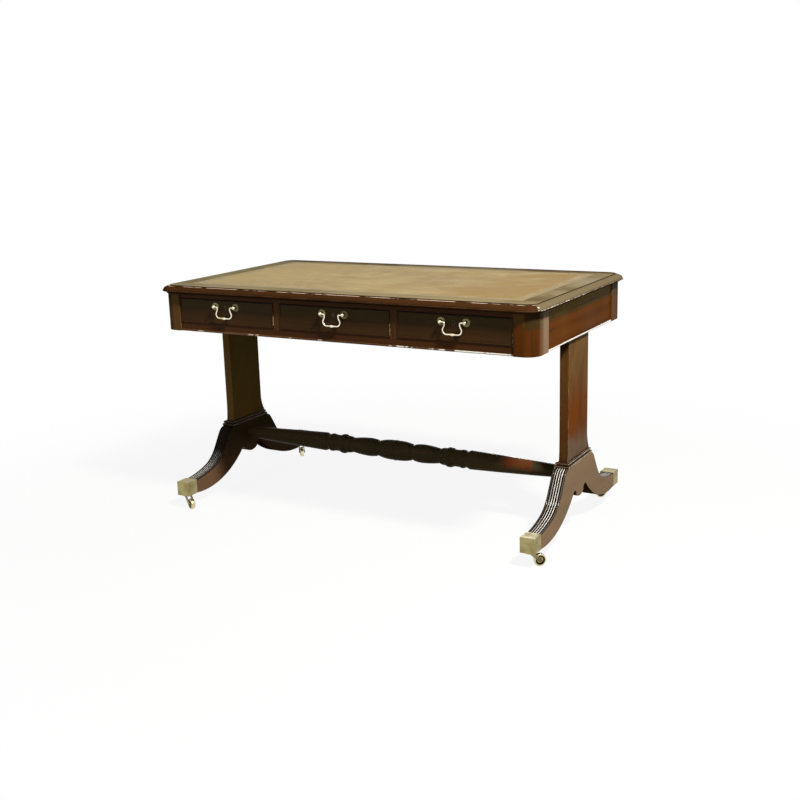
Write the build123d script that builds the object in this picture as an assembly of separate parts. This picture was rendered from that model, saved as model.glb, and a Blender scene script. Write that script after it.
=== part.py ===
from build123d import *
import math
import os

# Writing desk: a leather-topped library table with three drawers, on two swept end standards.
# Millimetres. X runs along the desk, Y from front to back, Z up. Origin on the floor under the centre.

# Top board
TOP_LENGTH = 1316.0
TOP_DEPTH = 747.0
DESK_HEIGHT = 752.0
TOP_THICKNESS = 25.0
TOP_CORNER_RADIUS = 54.0
TOP_OVERHANG = 19.5
QUIRK_INSET = 24.0
QUIRK_DROP = 2.5
OVOLO_DROP = 13.0
NOSE_LEDGE = 1.5
COVE_RISE = 6.5
COVE_INSET = 12.0
CUTTER_MARGIN = 3.0

# Writing leather
LEATHER_BORDER = 80.0
LEATHER_THICKNESS = 1.8
LEATHER_CORNER_RADIUS = 5.0
LEATHER_SINK = 0.2

# Frieze
FRIEZE_HEIGHT = 119.0
POST_WIDTH = 66.0
POST_DEPTH = 92.0
POST_PROUD = 4.5
POST_CORNER_RADIUS = 42.0
TOP_RAIL_HEIGHT = 12.5
BOTTOM_RAIL_HEIGHT = 27.5
FRONT_RAIL_DEPTH = 40.0
END_RAIL_THICKNESS = 40.0
REAR_RAIL_THICKNESS = 22.0
DIVIDER_WIDTH = 22.0
MIDDLE_OPENING = 386.0
APRON_BEAD_RADIUS = 3.0

# Joints of the frame
TENON_THICKNESS = 12.0
TENON_LENGTH = 24.0
TENON_SHOULDER = 2.0
STUB_LENGTH = 6.0
STUB_DEPTH = 20.0
MORTISE_END_GAP = 1.0

# Drawer boxes
FRONT_GAP = 0.8
RUN_GAP = 0.3
COCKBEAD_THICKNESS = 3.2
COCKBEAD_PROUD = 2.6
COCKBEAD_NOSE = 1.4
DRAWER_FRONT_THICKNESS = 20.0
DRAWER_LENGTH = 600.0
DRAWER_SIDE_THICKNESS = 10.0
DRAWER_SIDE_HEIGHT = 62.0
DRAWER_BACK_THICKNESS = 9.0
DRAWER_BACK_INSET = 12.0
DRAWER_BACK_DROP = 4.0
DRAWER_BOTTOM_THICKNESS = 6.0
DRAWER_BOTTOM_LIFT = 12.0
GROOVE_DEPTH = 5.0
DOVETAIL_COUNT = 3
DOVETAIL_LENGTH = 14.0
DOVETAIL_ROOT = 9.0
DOVETAIL_TIP = 13.0
DOVETAIL_MARGIN = 4.0

# Drawer runners, kickers and stops
RUNNER_LEDGE = 16.0
RUNNER_HEIGHT = 20.0
GUIDE_HEIGHT = 20.0
KICKER_GAP = 2.0
STOP_WIDTH = 32.0
STOP_DEPTH = 16.0
STOP_HEIGHT = 4.6
STOP_INSET = 60.0

# Handles
HANDLE_CENTRES = 77.0
HANDLE_DROP = 21.5
ROSE_RADIUS = 13.0
ROSE_THICKNESS = 2.4
ROSE_LIP_RADIUS = 11.7
ROSE_DISH_RADIUS = 8.0
ROSE_DISH_HEIGHT = 1.8
NECK_RADIUS = 3.8
BALL_RADIUS = 5.5
BALL_STANDOFF = 11.5
SHANK_RADIUS = 2.5
SHANK_BEYOND = 6.0
NUT_RADIUS = 6.0
NUT_THICKNESS = 4.0
BAIL_RADIUS = 2.3
BAIL_NECK_HALF = 24.0
BAIL_BELLY_HALF = 30.0
BAIL_FOOT_HALF = 27.0
BAIL_NECK_DROP = 10.0
BAIL_BELLY_DROP = 21.0
BAIL_DROP = 34.5
BAIL_ELBOW_RADIUS = 4.0
BAIL_NECK_RADIUS = 14.0
BAIL_BELLY_RADIUS = 9.0
BAIL_FOOT_RADIUS = 12.0
BAIL_SWELL_HALF = 11.0
BAIL_SWELL_RADIUS = 4.3
BAIL_PIN_PAST_CENTRE = 3.0
PIN_CLEARANCE = 0.05
PIN_END_GAP = 0.5
HOLE_CLEARANCE = 0.1

# Locks
LOCK_WIDTH = 54.0
LOCK_HEIGHT = 34.0
LOCK_THICKNESS = 9.0
LOCK_RISE = 12.0
KEYHOLE_RADIUS = 2.6
KEYHOLE_SLOT_WIDTH = 2.6
KEYHOLE_SLOT_DROP = 7.0
LINER_WALL = 1.3
LINER_DEPTH = 5.0
LINER_PROUD = 0.3

# End standards
UPRIGHT_THICKNESS = 28.0
UPRIGHT_WIDTH = 163.0
UPRIGHT_FRONT_FLARE = 4.0
UPRIGHT_REAR_FLARE = 17.0
UPRIGHT_FLARE_HEIGHT = 58.0
UPPER_TENON_WIDTH = 45.0
UPPER_TENON_OFFSET = 40.0
UPPER_TENON_LENGTH = 35.0
LOWER_TENON_WIDTH = 110.0
LOWER_TENON_LENGTH = 26.0
COLLAR_WIDTH = 48.0
COLLAR_DEPTH = 202.0
COLLAR_HEIGHT = 17.0
COLLAR_BEAD_COUNT = 2
COLLAR_BEAD_HEIGHT = 7.6
COLLAR_BEAD_STEP = 3.0
COLLAR_QUIRK_DEPTH = 3.6

# Feet
FOOT_RISE = 176.5
FOOT_SPAN = 724.0
FOOT_THICKNESS = 45.0
SHOULDER_PAST_COLLAR = 1.0
KNEE_DROP = 16.0
LEG_TOP_SLOPE = 0.06
LEG_UNDER_SLOPE = -0.14
SWEEP_OUTER_RUN = 0.557
SWEEP_OUTER_FALL = 0.864
SWEEP_INNER_RUN = 0.265
SWEEP_INNER_FALL = 0.50
NOTCH_OUTER_Y = 59.0
NOTCH_OUTER_DEPTH = 93.0
NOTCH_TOP_Y = 45.0
NOTCH_TOP_DEPTH = 84.0
PENDANT_HALF_WIDTH = 30.0
PENDANT_TOP_DEPTH = 92.0
PENDANT_SIDE_DEPTH = 101.0
PENDANT_DEPTH = 110.0
REED_COUNT = 6
REED_DEPTH = 3.0
REED_CROWN_DEPTH = 0.15
REED_CUTTER_ABOVE = 3.0

# Toe caps
CAP_LENGTH = 46.0
CAP_HEIGHT = 47.0
CAP_WALL = 2.0
CAP_BASE = 4.0
CAP_PROUD = 0.75
CAP_OVER_LEG = 2.5
CAP_BELOW_LEG = 1.0
CAP_EDGE_ROUND = 1.2
CAP_SCREW_RADIUS = 1.6
CAP_SCREW_LENGTH = 12.0
CAP_SCREW_HEAD_RADIUS = 3.2
CAP_SCREW_HEAD_HEIGHT = 1.4
CAP_SCREW_INSET = 14.0

# Castors
WHEEL_DIAMETER = 37.0
WHEEL_WIDTH = 13.0
WHEEL_DISH = 3.2
WHEEL_RIM = 4.5
WHEEL_HUB_RADIUS = 7.0
WHEEL_TREAD_ROUND = 2.5
WHEEL_CROWN_GAP = 4.7
CROWN_THICKNESS = 4.0
CROWN_RADIUS = 15.0
SWIVEL_GAP = 0.3
SWIVEL_PIN_RADIUS = 4.5
SWIVEL_HEAD_RADIUS = 6.5
SWIVEL_HEAD_HEIGHT = 3.0
CASTOR_TRAIL = 28.0
CHEEK_THICKNESS = 3.0
CHEEK_GAP = 0.8
CHEEK_END_RADIUS = 5.5
CHEEK_CROWN_WIDTH = 11.0
AXLE_RADIUS = 2.5
AXLE_HEAD_RADIUS = 4.0
AXLE_HEAD_HEIGHT = 1.4
CASTOR_TURN = {"front_left": -28.0, "front_right": 40.0, "rear_left": -50.0, "rear_right": 215.0}

# Turned stretcher
STRETCHER_BELOW_COLLAR = 42.5
STRETCHER_CENTRE_RADIUS = 34.2
STRETCHER_POLE_BULGE = 0.9
STRETCHER_END_RADIUS = 18.5
STRETCHER_TENON_RADIUS = 12.5
STRETCHER_TENON_LENGTH = 34.0
# Each turned section from the centre outwards: its length, radius at its middle and radius at its end
STRETCHER_TURNINGS = [
    (3.0, 34.2, 33.0),
    (55.0, 32.4, 27.5),
    (14.0, 23.8, 27.5),
    (30.0, 30.0, 30.8),
    (58.0, 29.0, 25.0),
    (10.0, 24.2, 26.5),
    (18.0, 28.2, 28.5),
    (26.0, 32.8, 28.5),
    (26.0, 27.6, 28.8),
    (16.0, 30.4, 27.5),
    (12.0, 26.2, 28.0),
    (10.0, 30.6, 31.0),
]

# Screws
SCREW_SLOT_WIDTH = 0.9
SCREW_SLOT_DEPTH = 0.7
TOP_SCREW_RADIUS = 2.4
TOP_SCREW_HEAD_RADIUS = 4.6
TOP_SCREW_HEAD_HEIGHT = 3.0
TOP_SCREW_BITE = 14.0
TOP_SCREW_SPREAD = 190.0

# Levels
FRIEZE_TOP = DESK_HEIGHT - TOP_THICKNESS
FRIEZE_BOTTOM = FRIEZE_TOP - FRIEZE_HEIGHT
OPENING_BOTTOM = FRIEZE_BOTTOM + BOTTOM_RAIL_HEIGHT
OPENING_TOP = FRIEZE_TOP - TOP_RAIL_HEIGHT
DRAWER_SIDE_BOTTOM = OPENING_BOTTOM + RUN_GAP
DRAWER_SIDE_TOP = DRAWER_SIDE_BOTTOM + DRAWER_SIDE_HEIGHT
KICKER_BOTTOM = DRAWER_SIDE_TOP + KICKER_GAP
HANDLE_Z = OPENING_TOP - HANDLE_DROP
CAP_BOTTOM = WHEEL_DIAMETER + WHEEL_CROWN_GAP + CROWN_THICKNESS + SWIVEL_GAP
CAP_TOP = CAP_BOTTOM + CAP_HEIGHT
FOOT_TOP = CAP_BOTTOM + FOOT_RISE
COLLAR_TOP = FOOT_TOP + COLLAR_HEIGHT
STRETCHER_Z = FOOT_TOP - STRETCHER_BELOW_COLLAR

# Places along the desk and from front to back
FRIEZE_X = TOP_LENGTH / 2 - TOP_OVERHANG
FRIEZE_Y = TOP_DEPTH / 2 - TOP_OVERHANG
POST_X = FRIEZE_X + POST_PROUD
POST_Y = FRIEZE_Y + POST_PROUD
POST_INNER_X = POST_X - POST_WIDTH
POST_INNER_Y = POST_Y - POST_DEPTH
STANDARD_X = FRIEZE_X - END_RAIL_THICKNESS / 2
FRONT_RAIL_BACK = -FRIEZE_Y + FRONT_RAIL_DEPTH
FRONT_RAIL_MIDDLE = -FRIEZE_Y + FRONT_RAIL_DEPTH / 2
REAR_RAIL_FACE = FRIEZE_Y - REAR_RAIL_THICKNESS
REAR_RAIL_MIDDLE = FRIEZE_Y - REAR_RAIL_THICKNESS / 2
DIVIDER_X = (MIDDLE_OPENING + DIVIDER_WIDTH) / 2
SIDE_OPENING = POST_INNER_X - DIVIDER_X - DIVIDER_WIDTH / 2
SIDE_DRAWER_X = POST_INNER_X - SIDE_OPENING / 2
DRAWER_FRONT_BACK = -FRIEZE_Y + DRAWER_FRONT_THICKNESS
DRAWER_REAR = DRAWER_FRONT_BACK + DRAWER_LENGTH
BALL_Y = -FRIEZE_Y - BALL_STANDOFF
LEG_END_Y = FOOT_SPAN / 2 - CAP_LENGTH
CASTOR_Y = FOOT_SPAN / 2 - CAP_LENGTH / 2
DRAWERS = {
    "left": (-SIDE_DRAWER_X, SIDE_OPENING),
    "middle": (0.0, MIDDLE_OPENING),
    "right": (SIDE_DRAWER_X, SIDE_OPENING),
}
CORNERS = {
    "front_left": (-1, -1),
    "front_right": (1, -1),
    "rear_left": (-1, 1),
    "rear_right": (1, 1),
}


def block(x, y, z):
    """Solid block between the low and high values given for each axis."""
    size = [high - low for low, high in (x, y, z)]
    centre = [(high + low) / 2 for low, high in (x, y, z)]
    return Pos(*centre) * Box(*size)


def span(centre, width):
    """Low and high values of a stretch about its centre."""
    return (centre - width / 2, centre + width / 2)


def rod(radius, start, direction, length):
    """Round bar from a start point along a direction."""
    plane = Plane(origin=start, z_dir=direction)
    return extrude(plane * Circle(radius), amount=length)


def to_corner(shape, x_side, y_side):
    """Place a shape made for the rear right corner at another corner."""
    if x_side < 0:
        shape = mirror(shape, about=Plane.YZ)
    if y_side < 0:
        shape = mirror(shape, about=Plane.XZ)
    return shape


# Top board and leather

def rounded_plate(length, depth, radius, bottom, thickness):
    """Flat plate with rounded corners."""
    return Pos(0, 0, bottom) * extrude(RectangleRounded(length, depth, radius), amount=thickness)


def round_edge(profile):
    """Sweep a profile round the top, its X outward from the edge and its Y up from the underside."""
    rail = Pos(0, 0, FRIEZE_TOP) * RectangleRounded(TOP_LENGTH, TOP_DEPTH, TOP_CORNER_RADIUS).wire()
    outward = (rail % 0).cross(Vector(0, 0, 1))
    plane = Plane(origin=rail @ 0, x_dir=outward, z_dir=-(rail % 0))
    return sweep(plane * profile, path=rail, transition=Transition.ROUND)


def ovolo_waste():
    """Waste above the moulded edge, which leaves a quirk, an ovolo and a small ledge."""
    foot_level = TOP_THICKNESS - QUIRK_DROP - OVOLO_DROP
    above = TOP_THICKNESS + CUTTER_MARGIN
    ovolo = EllipticalCenterArc(
        (-QUIRK_INSET, foot_level), QUIRK_INSET - NOSE_LEDGE, OVOLO_DROP, start_angle=0, arc_size=90
    )
    rim = Polyline(
        ovolo @ 0, (CUTTER_MARGIN, foot_level), (CUTTER_MARGIN, above), (-QUIRK_INSET, above), ovolo @ 1
    )
    return round_edge(make_face([*ovolo.edges(), *rim.edges()]))


def cove_waste():
    """Waste below the moulded edge, which leaves a cove under its nose."""
    cove = EllipticalCenterArc((0, 0), COVE_INSET, COVE_RISE, start_angle=90, arc_size=90)
    rim = Polyline(
        cove @ 1, (-COVE_INSET, -CUTTER_MARGIN), (CUTTER_MARGIN, -CUTTER_MARGIN),
        (CUTTER_MARGIN, COVE_RISE), cove @ 0
    )
    return round_edge(make_face([*cove.edges(), *rim.edges()]))


def leather_plate(top, thickness):
    """The leather's outline as a plate below a level."""
    length = TOP_LENGTH - 2 * LEATHER_BORDER
    depth = TOP_DEPTH - 2 * LEATHER_BORDER
    return rounded_plate(length, depth, LEATHER_CORNER_RADIUS, top - thickness, thickness)


def kicker_lines():
    """Low and high X of each strip that carries the drawers' edges, one for each divider and each end."""
    half = DIVIDER_WIDTH / 2 + RUNNER_LEDGE
    inner_end = FRIEZE_X - END_RAIL_THICKNESS
    end_low = POST_INNER_X - RUNNER_LEDGE
    return [
        (-inner_end, -end_low),
        (-DIVIDER_X - half, -DIVIDER_X + half),
        (DIVIDER_X - half, DIVIDER_X + half),
        (end_low, inner_end),
    ]


def top_screw_places():
    """X and Y of the screws that hold the top, two to a kicker."""
    return [
        ((low + high) / 2, y) for low, high in kicker_lines() for y in (-TOP_SCREW_SPREAD, TOP_SCREW_SPREAD)
    ]


def top_screw_blanks(clearance):
    """Countersunk screws up through the kickers into the top, before their heads are slotted."""
    radius = TOP_SCREW_RADIUS + clearance
    head = TOP_SCREW_HEAD_RADIUS + clearance
    top = FRIEZE_TOP + TOP_SCREW_BITE + clearance
    shoulder = KICKER_BOTTOM + TOP_SCREW_HEAD_HEIGHT
    outline = Polyline(
        (0, KICKER_BOTTOM), (head, KICKER_BOTTOM), (radius, shoulder), (radius, top), (0, top), close=True
    )
    screw = revolve(Plane.XZ * make_face(outline), axis=Axis.Z)
    return [Pos(x, y, 0) * screw for x, y in top_screw_places()]


def top_screws():
    """Screws that hold the top, each with a slot across its head."""
    levels = (KICKER_BOTTOM, KICKER_BOTTOM + SCREW_SLOT_DEPTH)
    slot = block(span(0, SCREW_SLOT_WIDTH), span(0, 2 * TOP_SCREW_HEAD_RADIUS), levels)
    blanks = top_screw_blanks(0)
    return [blank - Pos(x, y, 0) * slot for blank, (x, y) in zip(blanks, top_screw_places())]


def top_board():
    """Top with its moulded edge, leather recess and screw holes."""
    board = rounded_plate(TOP_LENGTH, TOP_DEPTH, TOP_CORNER_RADIUS, FRIEZE_TOP, TOP_THICKNESS)
    board = board - ovolo_waste() - cove_waste()
    board = board - leather_plate(DESK_HEIGHT, LEATHER_THICKNESS + LEATHER_SINK)
    for screw in top_screw_blanks(HOLE_CLEARANCE):
        board = board - screw
    return board


# Frieze

def rail_tenon_x(middle_y, low, high, end_gap):
    """Tenons at both ends of a rail that runs along X."""
    reach = POST_INNER_X + TENON_LENGTH + end_gap
    return block(
        (-reach, reach), span(middle_y, TENON_THICKNESS), (low + TENON_SHOULDER, high - TENON_SHOULDER)
    )


def rail_tenon_y(end_gap):
    """Tenons at both ends of the right end rail."""
    reach = POST_INNER_Y + TENON_LENGTH + end_gap
    levels = (FRIEZE_BOTTOM + TENON_SHOULDER, FRIEZE_TOP - TENON_SHOULDER)
    return block(span(STANDARD_X, TENON_THICKNESS), (-reach, reach), levels)


def divider_stubs(end_gap):
    """Stub tenons of both dividers, right through each divider."""
    levels = (OPENING_BOTTOM - STUB_LENGTH - end_gap, OPENING_TOP + STUB_LENGTH + end_gap)
    depth = span(FRONT_RAIL_MIDDLE, STUB_DEPTH)
    return [block(span(x, TENON_THICKNESS), depth, levels) for x in (-DIVIDER_X, DIVIDER_X)]


def corner_post():
    """Rear right corner post with a rounded outer corner, before its mortises are cut."""
    post = block((POST_INNER_X, POST_X), (POST_INNER_Y, POST_Y), (FRIEZE_BOTTOM, FRIEZE_TOP))
    outer = post.edges().filter_by(Axis.Z).sort_by(SortBy.DISTANCE)[-1]
    return fillet(outer, POST_CORNER_RADIUS)


def corner_posts():
    """The four corner posts, each cut for the rails that it carries."""
    posts = {}
    for name, (x_side, y_side) in CORNERS.items():
        post = to_corner(corner_post(), x_side, y_side)
        end_tenon = to_corner(rail_tenon_y(MORTISE_END_GAP), x_side, 1)
        post = post - end_tenon
        if y_side > 0:
            post = post - rail_tenon_x(REAR_RAIL_MIDDLE, FRIEZE_BOTTOM, FRIEZE_TOP, MORTISE_END_GAP)
        else:
            post = post - rail_tenon_x(FRONT_RAIL_MIDDLE, FRIEZE_BOTTOM, OPENING_BOTTOM, MORTISE_END_GAP)
            post = post - rail_tenon_x(FRONT_RAIL_MIDDLE, OPENING_TOP, FRIEZE_TOP, MORTISE_END_GAP)
        posts["corner_post_" + name] = post
    return posts


def front_rail(low, high):
    """Rail above or below the drawers, with mortises for the dividers."""
    rail = block((-POST_INNER_X, POST_INNER_X), (-FRIEZE_Y, FRONT_RAIL_BACK), (low, high))
    rail = rail + rail_tenon_x(FRONT_RAIL_MIDDLE, low, high, 0)
    for stub in divider_stubs(MORTISE_END_GAP):
        rail = rail - stub
    return rail


def rear_rail():
    """Plain rail across the back."""
    rail = block((-POST_INNER_X, POST_INNER_X), (REAR_RAIL_FACE, FRIEZE_Y), (FRIEZE_BOTTOM, FRIEZE_TOP))
    return rail + rail_tenon_x(REAR_RAIL_MIDDLE, FRIEZE_BOTTOM, FRIEZE_TOP, 0)


def upper_tenons(end_gap):
    """Twin tenons at the head of the right upright."""
    levels = (FRIEZE_BOTTOM - end_gap, FRIEZE_BOTTOM + UPPER_TENON_LENGTH + end_gap)
    return [
        block(span(STANDARD_X, TENON_THICKNESS), span(y, UPPER_TENON_WIDTH), levels)
        for y in (-UPPER_TENON_OFFSET, UPPER_TENON_OFFSET)
    ]


def end_rail():
    """Right end rail with tenons for the posts and mortises for the upright."""
    thickness = (FRIEZE_X - END_RAIL_THICKNESS, FRIEZE_X)
    rail = block(thickness, (-POST_INNER_Y, POST_INNER_Y), (FRIEZE_BOTTOM, FRIEZE_TOP))
    rail = rail + rail_tenon_y(0)
    for tenon in upper_tenons(MORTISE_END_GAP):
        rail = rail - tenon
    return rail


def dividers():
    """Two uprights between the drawers."""
    depth = (-FRIEZE_Y, FRONT_RAIL_BACK)
    solids = []
    for x, stub in zip((-DIVIDER_X, DIVIDER_X), divider_stubs(0)):
        solids.append(block(span(x, DIVIDER_WIDTH), depth, (OPENING_BOTTOM, OPENING_TOP)) + stub)
    return solids


def apron_beads():
    """Half-round beads along the lower edge of the four frieze faces."""
    level = FRIEZE_BOTTOM + APRON_BEAD_RADIUS
    section = Circle(APRON_BEAD_RADIUS) & Pos(0, -APRON_BEAD_RADIUS) * Rectangle(
        2 * APRON_BEAD_RADIUS, 2 * APRON_BEAD_RADIUS
    )
    solids = []
    for turn, face, length in (
        (0, FRIEZE_Y, POST_INNER_X),
        (90, FRIEZE_X, POST_INNER_Y),
        (180, FRIEZE_Y, POST_INNER_X),
        (270, FRIEZE_X, POST_INNER_Y),
    ):
        plane = Plane(origin=(0, -face, level), x_dir=(0, 0, 1), z_dir=(-1, 0, 0))
        strip = extrude(plane * section, amount=length, both=True)
        solids.append(Rot(0, 0, turn) * strip)
    return solids


def post_waste():
    """Square blocks where the corner posts stand, cut from the runners and kickers."""
    corner = block((POST_INNER_X, POST_X), (POST_INNER_Y, POST_Y), (FRIEZE_BOTTOM, FRIEZE_TOP))
    return [to_corner(corner, x_side, y_side) for x_side, y_side in CORNERS.values()]


def drawer_runners():
    """Strips that the drawer sides run on, each with a guide that keeps the drawers in line."""
    length = (FRONT_RAIL_BACK, REAR_RAIL_FACE)
    ledge = RUNNER_LEDGE - COCKBEAD_THICKNESS
    solids = []
    for low, high in kicker_lines():
        guide_low = low if low < -POST_INNER_X else low + ledge
        guide_high = high if high > POST_INNER_X else high - ledge
        runner = block((low, high), length, (OPENING_BOTTOM - RUNNER_HEIGHT, OPENING_BOTTOM))
        guide = block((guide_low, guide_high), length, (OPENING_BOTTOM, OPENING_BOTTOM + GUIDE_HEIGHT))
        strip = runner + guide
        for waste in post_waste():
            strip = strip - waste
        solids.append(strip)
    return solids


def drawer_kickers():
    """Strips above the drawer sides that stop an open drawer from tipping."""
    screws = top_screw_blanks(HOLE_CLEARANCE)
    solids = []
    for low, high in kicker_lines():
        strip = block((low, high), (FRONT_RAIL_BACK, REAR_RAIL_FACE), (KICKER_BOTTOM, FRIEZE_TOP))
        for waste in post_waste() + screws:
            strip = strip - waste
        solids.append(strip)
    return solids


def drawer_stops():
    """Small blocks behind each drawer front, two to a drawer."""
    depth = (DRAWER_FRONT_BACK + RUN_GAP, DRAWER_FRONT_BACK + RUN_GAP + STOP_DEPTH)
    levels = (OPENING_BOTTOM, OPENING_BOTTOM + STOP_HEIGHT)
    solids = []
    for centre, opening in DRAWERS.values():
        for side in (-1, 1):
            x = centre + side * (opening / 2 - STOP_INSET)
            solids.append(block(span(x, STOP_WIDTH), depth, levels))
    return solids


# End standards, stretcher and feet

def upright_edge(y_side, flare):
    """Front or rear edge of an upright, straight above and flared at its foot."""
    half = UPRIGHT_WIDTH / 2
    flare_start = (y_side * half, COLLAR_TOP + UPRIGHT_FLARE_HEIGHT)
    straight = Line((y_side * half, FRIEZE_BOTTOM), flare_start)
    foot = TangentArc(flare_start, (y_side * (half + flare), COLLAR_TOP), tangent=(0, -1))
    return [*straight.edges(), *foot.edges()]


def upright():
    """Right end standard: a plank that flares at its foot, mostly to the rear, with tenons at both ends."""
    half = UPRIGHT_WIDTH / 2
    sides = upright_edge(-1, UPRIGHT_FRONT_FLARE) + upright_edge(1, UPRIGHT_REAR_FLARE)
    head = Line((-half, FRIEZE_BOTTOM), (half, FRIEZE_BOTTOM))
    base = Line((-half - UPRIGHT_FRONT_FLARE, COLLAR_TOP), (half + UPRIGHT_REAR_FLARE, COLLAR_TOP))
    outline = make_face([*sides, *head.edges(), *base.edges()])
    plank = extrude(Plane.YZ * outline, amount=UPRIGHT_THICKNESS / 2, both=True)
    plank = Pos(STANDARD_X, 0, 0) * plank
    for tenon in upper_tenons(0):
        plank = plank + tenon
    return plank + lower_tenon(0)


def lower_tenon(end_gap):
    """Tenon that passes through the collar into the foot."""
    levels = (FOOT_TOP - LOWER_TENON_LENGTH - end_gap, COLLAR_TOP + end_gap)
    return block(span(STANDARD_X, TENON_THICKNESS), (-LOWER_TENON_WIDTH / 2, LOWER_TENON_WIDTH / 2), levels)


def collar():
    """Moulded collar between the upright and the foot: stepped, rounded beads with quirks between them."""
    inset = 2 * (COLLAR_QUIRK_DEPTH + (COLLAR_BEAD_COUNT - 1) * COLLAR_BEAD_STEP)
    moulding = block(
        span(STANDARD_X, COLLAR_WIDTH - inset), span(0, COLLAR_DEPTH - inset), (FOOT_TOP, COLLAR_TOP)
    )
    pitch = COLLAR_HEIGHT / COLLAR_BEAD_COUNT
    for index in range(COLLAR_BEAD_COUNT):
        middle = FOOT_TOP + (index + 0.5) * pitch
        step = 2 * index * COLLAR_BEAD_STEP
        bead = block(
            span(STANDARD_X, COLLAR_WIDTH - step), span(0, COLLAR_DEPTH - step), span(middle, COLLAR_BEAD_HEIGHT)
        )
        rims = bead.faces().sort_by(Axis.Z)[0].edges() + bead.faces().sort_by(Axis.Z)[-1].edges()
        moulding = moulding + fillet(rims, COLLAR_BEAD_HEIGHT / 2 - HOLE_CLEARANCE)
    return moulding - lower_tenon(MORTISE_END_GAP)


def sweep_point(run, fall):
    """Point of the leg's top line, at a share of the way from the shoulder to the toe."""
    shoulder_y = COLLAR_DEPTH / 2 + SHOULDER_PAST_COLLAR
    toe_z = CAP_TOP - CAP_OVER_LEG
    return Vector(shoulder_y + run * (LEG_END_Y - shoulder_y), FOOT_TOP - fall * (FOOT_TOP - toe_z))


def leg_top_line():
    """The sweep of one leg from its toe up to the shoulder, as tangent arcs and a straight."""
    toe = TangentArc(
        sweep_point(1, 1), sweep_point(SWEEP_OUTER_RUN, SWEEP_OUTER_FALL), tangent=(-1, LEG_TOP_SLOPE)
    )
    bend = TangentArc(toe @ 1, sweep_point(SWEEP_INNER_RUN, SWEEP_INNER_FALL), tangent=toe % 1)
    climb = bend % 1
    knee_start = bend @ 1 + climb * ((FOOT_TOP - KNEE_DROP - (bend @ 1).Y) / climb.Y)
    rise = Line(bend @ 1, knee_start)
    knee = TangentArc(knee_start, sweep_point(0, 0), tangent=climb)
    return [*toe.edges(), *bend.edges(), *rise.edges(), *knee.edges()]


def leg_under_line():
    """The underside of one leg from its toe to the notch, and the notch beside the pendant."""
    toe = Vector(LEG_END_Y, CAP_BOTTOM + CAP_BELOW_LEG)
    notch_outer = Vector(NOTCH_OUTER_Y, FOOT_TOP - NOTCH_OUTER_DEPTH)
    notch_top = Vector(NOTCH_TOP_Y, FOOT_TOP - NOTCH_TOP_DEPTH)
    pendant_top = Vector(PENDANT_HALF_WIDTH, FOOT_TOP - PENDANT_TOP_DEPTH)
    pendant_side = Vector(PENDANT_HALF_WIDTH, FOOT_TOP - PENDANT_SIDE_DEPTH)
    under = TangentArc(toe, notch_outer, tangent=(-1, LEG_UNDER_SLOPE))
    notch = ThreePointArc(notch_outer, notch_top, pendant_top)
    side = Line(pendant_top, pendant_side)
    end = Line(toe, sweep_point(1, 1))
    return [*under.edges(), *notch.edges(), *side.edges(), *end.edges()]


def foot_blank():
    """Foot sawn to its outline, before reeding and jointing."""
    half = leg_top_line() + leg_under_line()
    outline = half + [edge.mirror(Plane.YZ) for edge in half]
    shoulder = sweep_point(0, 0)
    side = FOOT_TOP - PENDANT_SIDE_DEPTH
    crest = Line((-shoulder.X, shoulder.Y), shoulder)
    pendant = ThreePointArc(
        (-PENDANT_HALF_WIDTH, side), (0, FOOT_TOP - PENDANT_DEPTH), (PENDANT_HALF_WIDTH, side)
    )
    face = make_face([*outline, *crest.edges(), *pendant.edges()])
    return extrude(Plane.YZ * face, amount=FOOT_THICKNESS / 2, both=True)


def reed_cutter():
    """Waste between the reeds of one leg, swept along its top line."""
    path = Plane.YZ * Wire(leg_top_line())
    pitch = FOOT_THICKNESS / REED_COUNT
    half = FOOT_THICKNESS / 2
    reeds = []
    for index in range(REED_COUNT):
        low = -half + index * pitch
        crown = (low + pitch / 2, -REED_CROWN_DEPTH)
        reeds += ThreePointArc((low, -REED_DEPTH), crown, (low + pitch, -REED_DEPTH)).edges()
    past = half + REED_CUTTER_ABOVE
    rim = Polyline(
        (-half, -REED_DEPTH), (-past, -REED_DEPTH), (-past, REED_CUTTER_ABOVE), (past, REED_CUTTER_ABOVE),
        (past, -REED_DEPTH), (half, -REED_DEPTH)
    )
    profile = make_face([*reeds, *rim.edges()])
    plane = Plane(origin=path @ 0, x_dir=(1, 0, 0), z_dir=path % 0)
    return sweep(plane * profile, path=path, transition=Transition.ROUND)


def toe_block(x_side, y_side):
    """The end of a leg inside its brass cap."""
    width = FOOT_THICKNESS + 2 * CAP_PROUD - 2 * CAP_WALL
    end = (LEG_END_Y, FOOT_SPAN / 2 - CAP_WALL)
    toe = block(span(STANDARD_X, width), end, (CAP_BOTTOM + CAP_BASE, CAP_TOP - CAP_WALL))
    return to_corner(toe, x_side, y_side)


def swivel_pocket(x_side, y_side):
    """Room in the leg for the riveted head of the castor's swivel pin."""
    depth = SWIVEL_GAP + SWIVEL_HEAD_HEIGHT + SWIVEL_HEAD_HEIGHT
    centre = (STANDARD_X, CASTOR_Y, CAP_BOTTOM + CAP_BASE)
    pocket = rod(SWIVEL_HEAD_RADIUS + SWIVEL_GAP, centre, (0, 0, 1), depth)
    return to_corner(pocket, x_side, y_side)


def stretcher_tenon(end_gap):
    """Round tenon at the right end of the stretcher."""
    start = (STANDARD_X - FOOT_THICKNESS / 2, 0, STRETCHER_Z)
    return rod(STRETCHER_TENON_RADIUS, start, (1, 0, 0), STRETCHER_TENON_LENGTH + end_gap)


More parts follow.
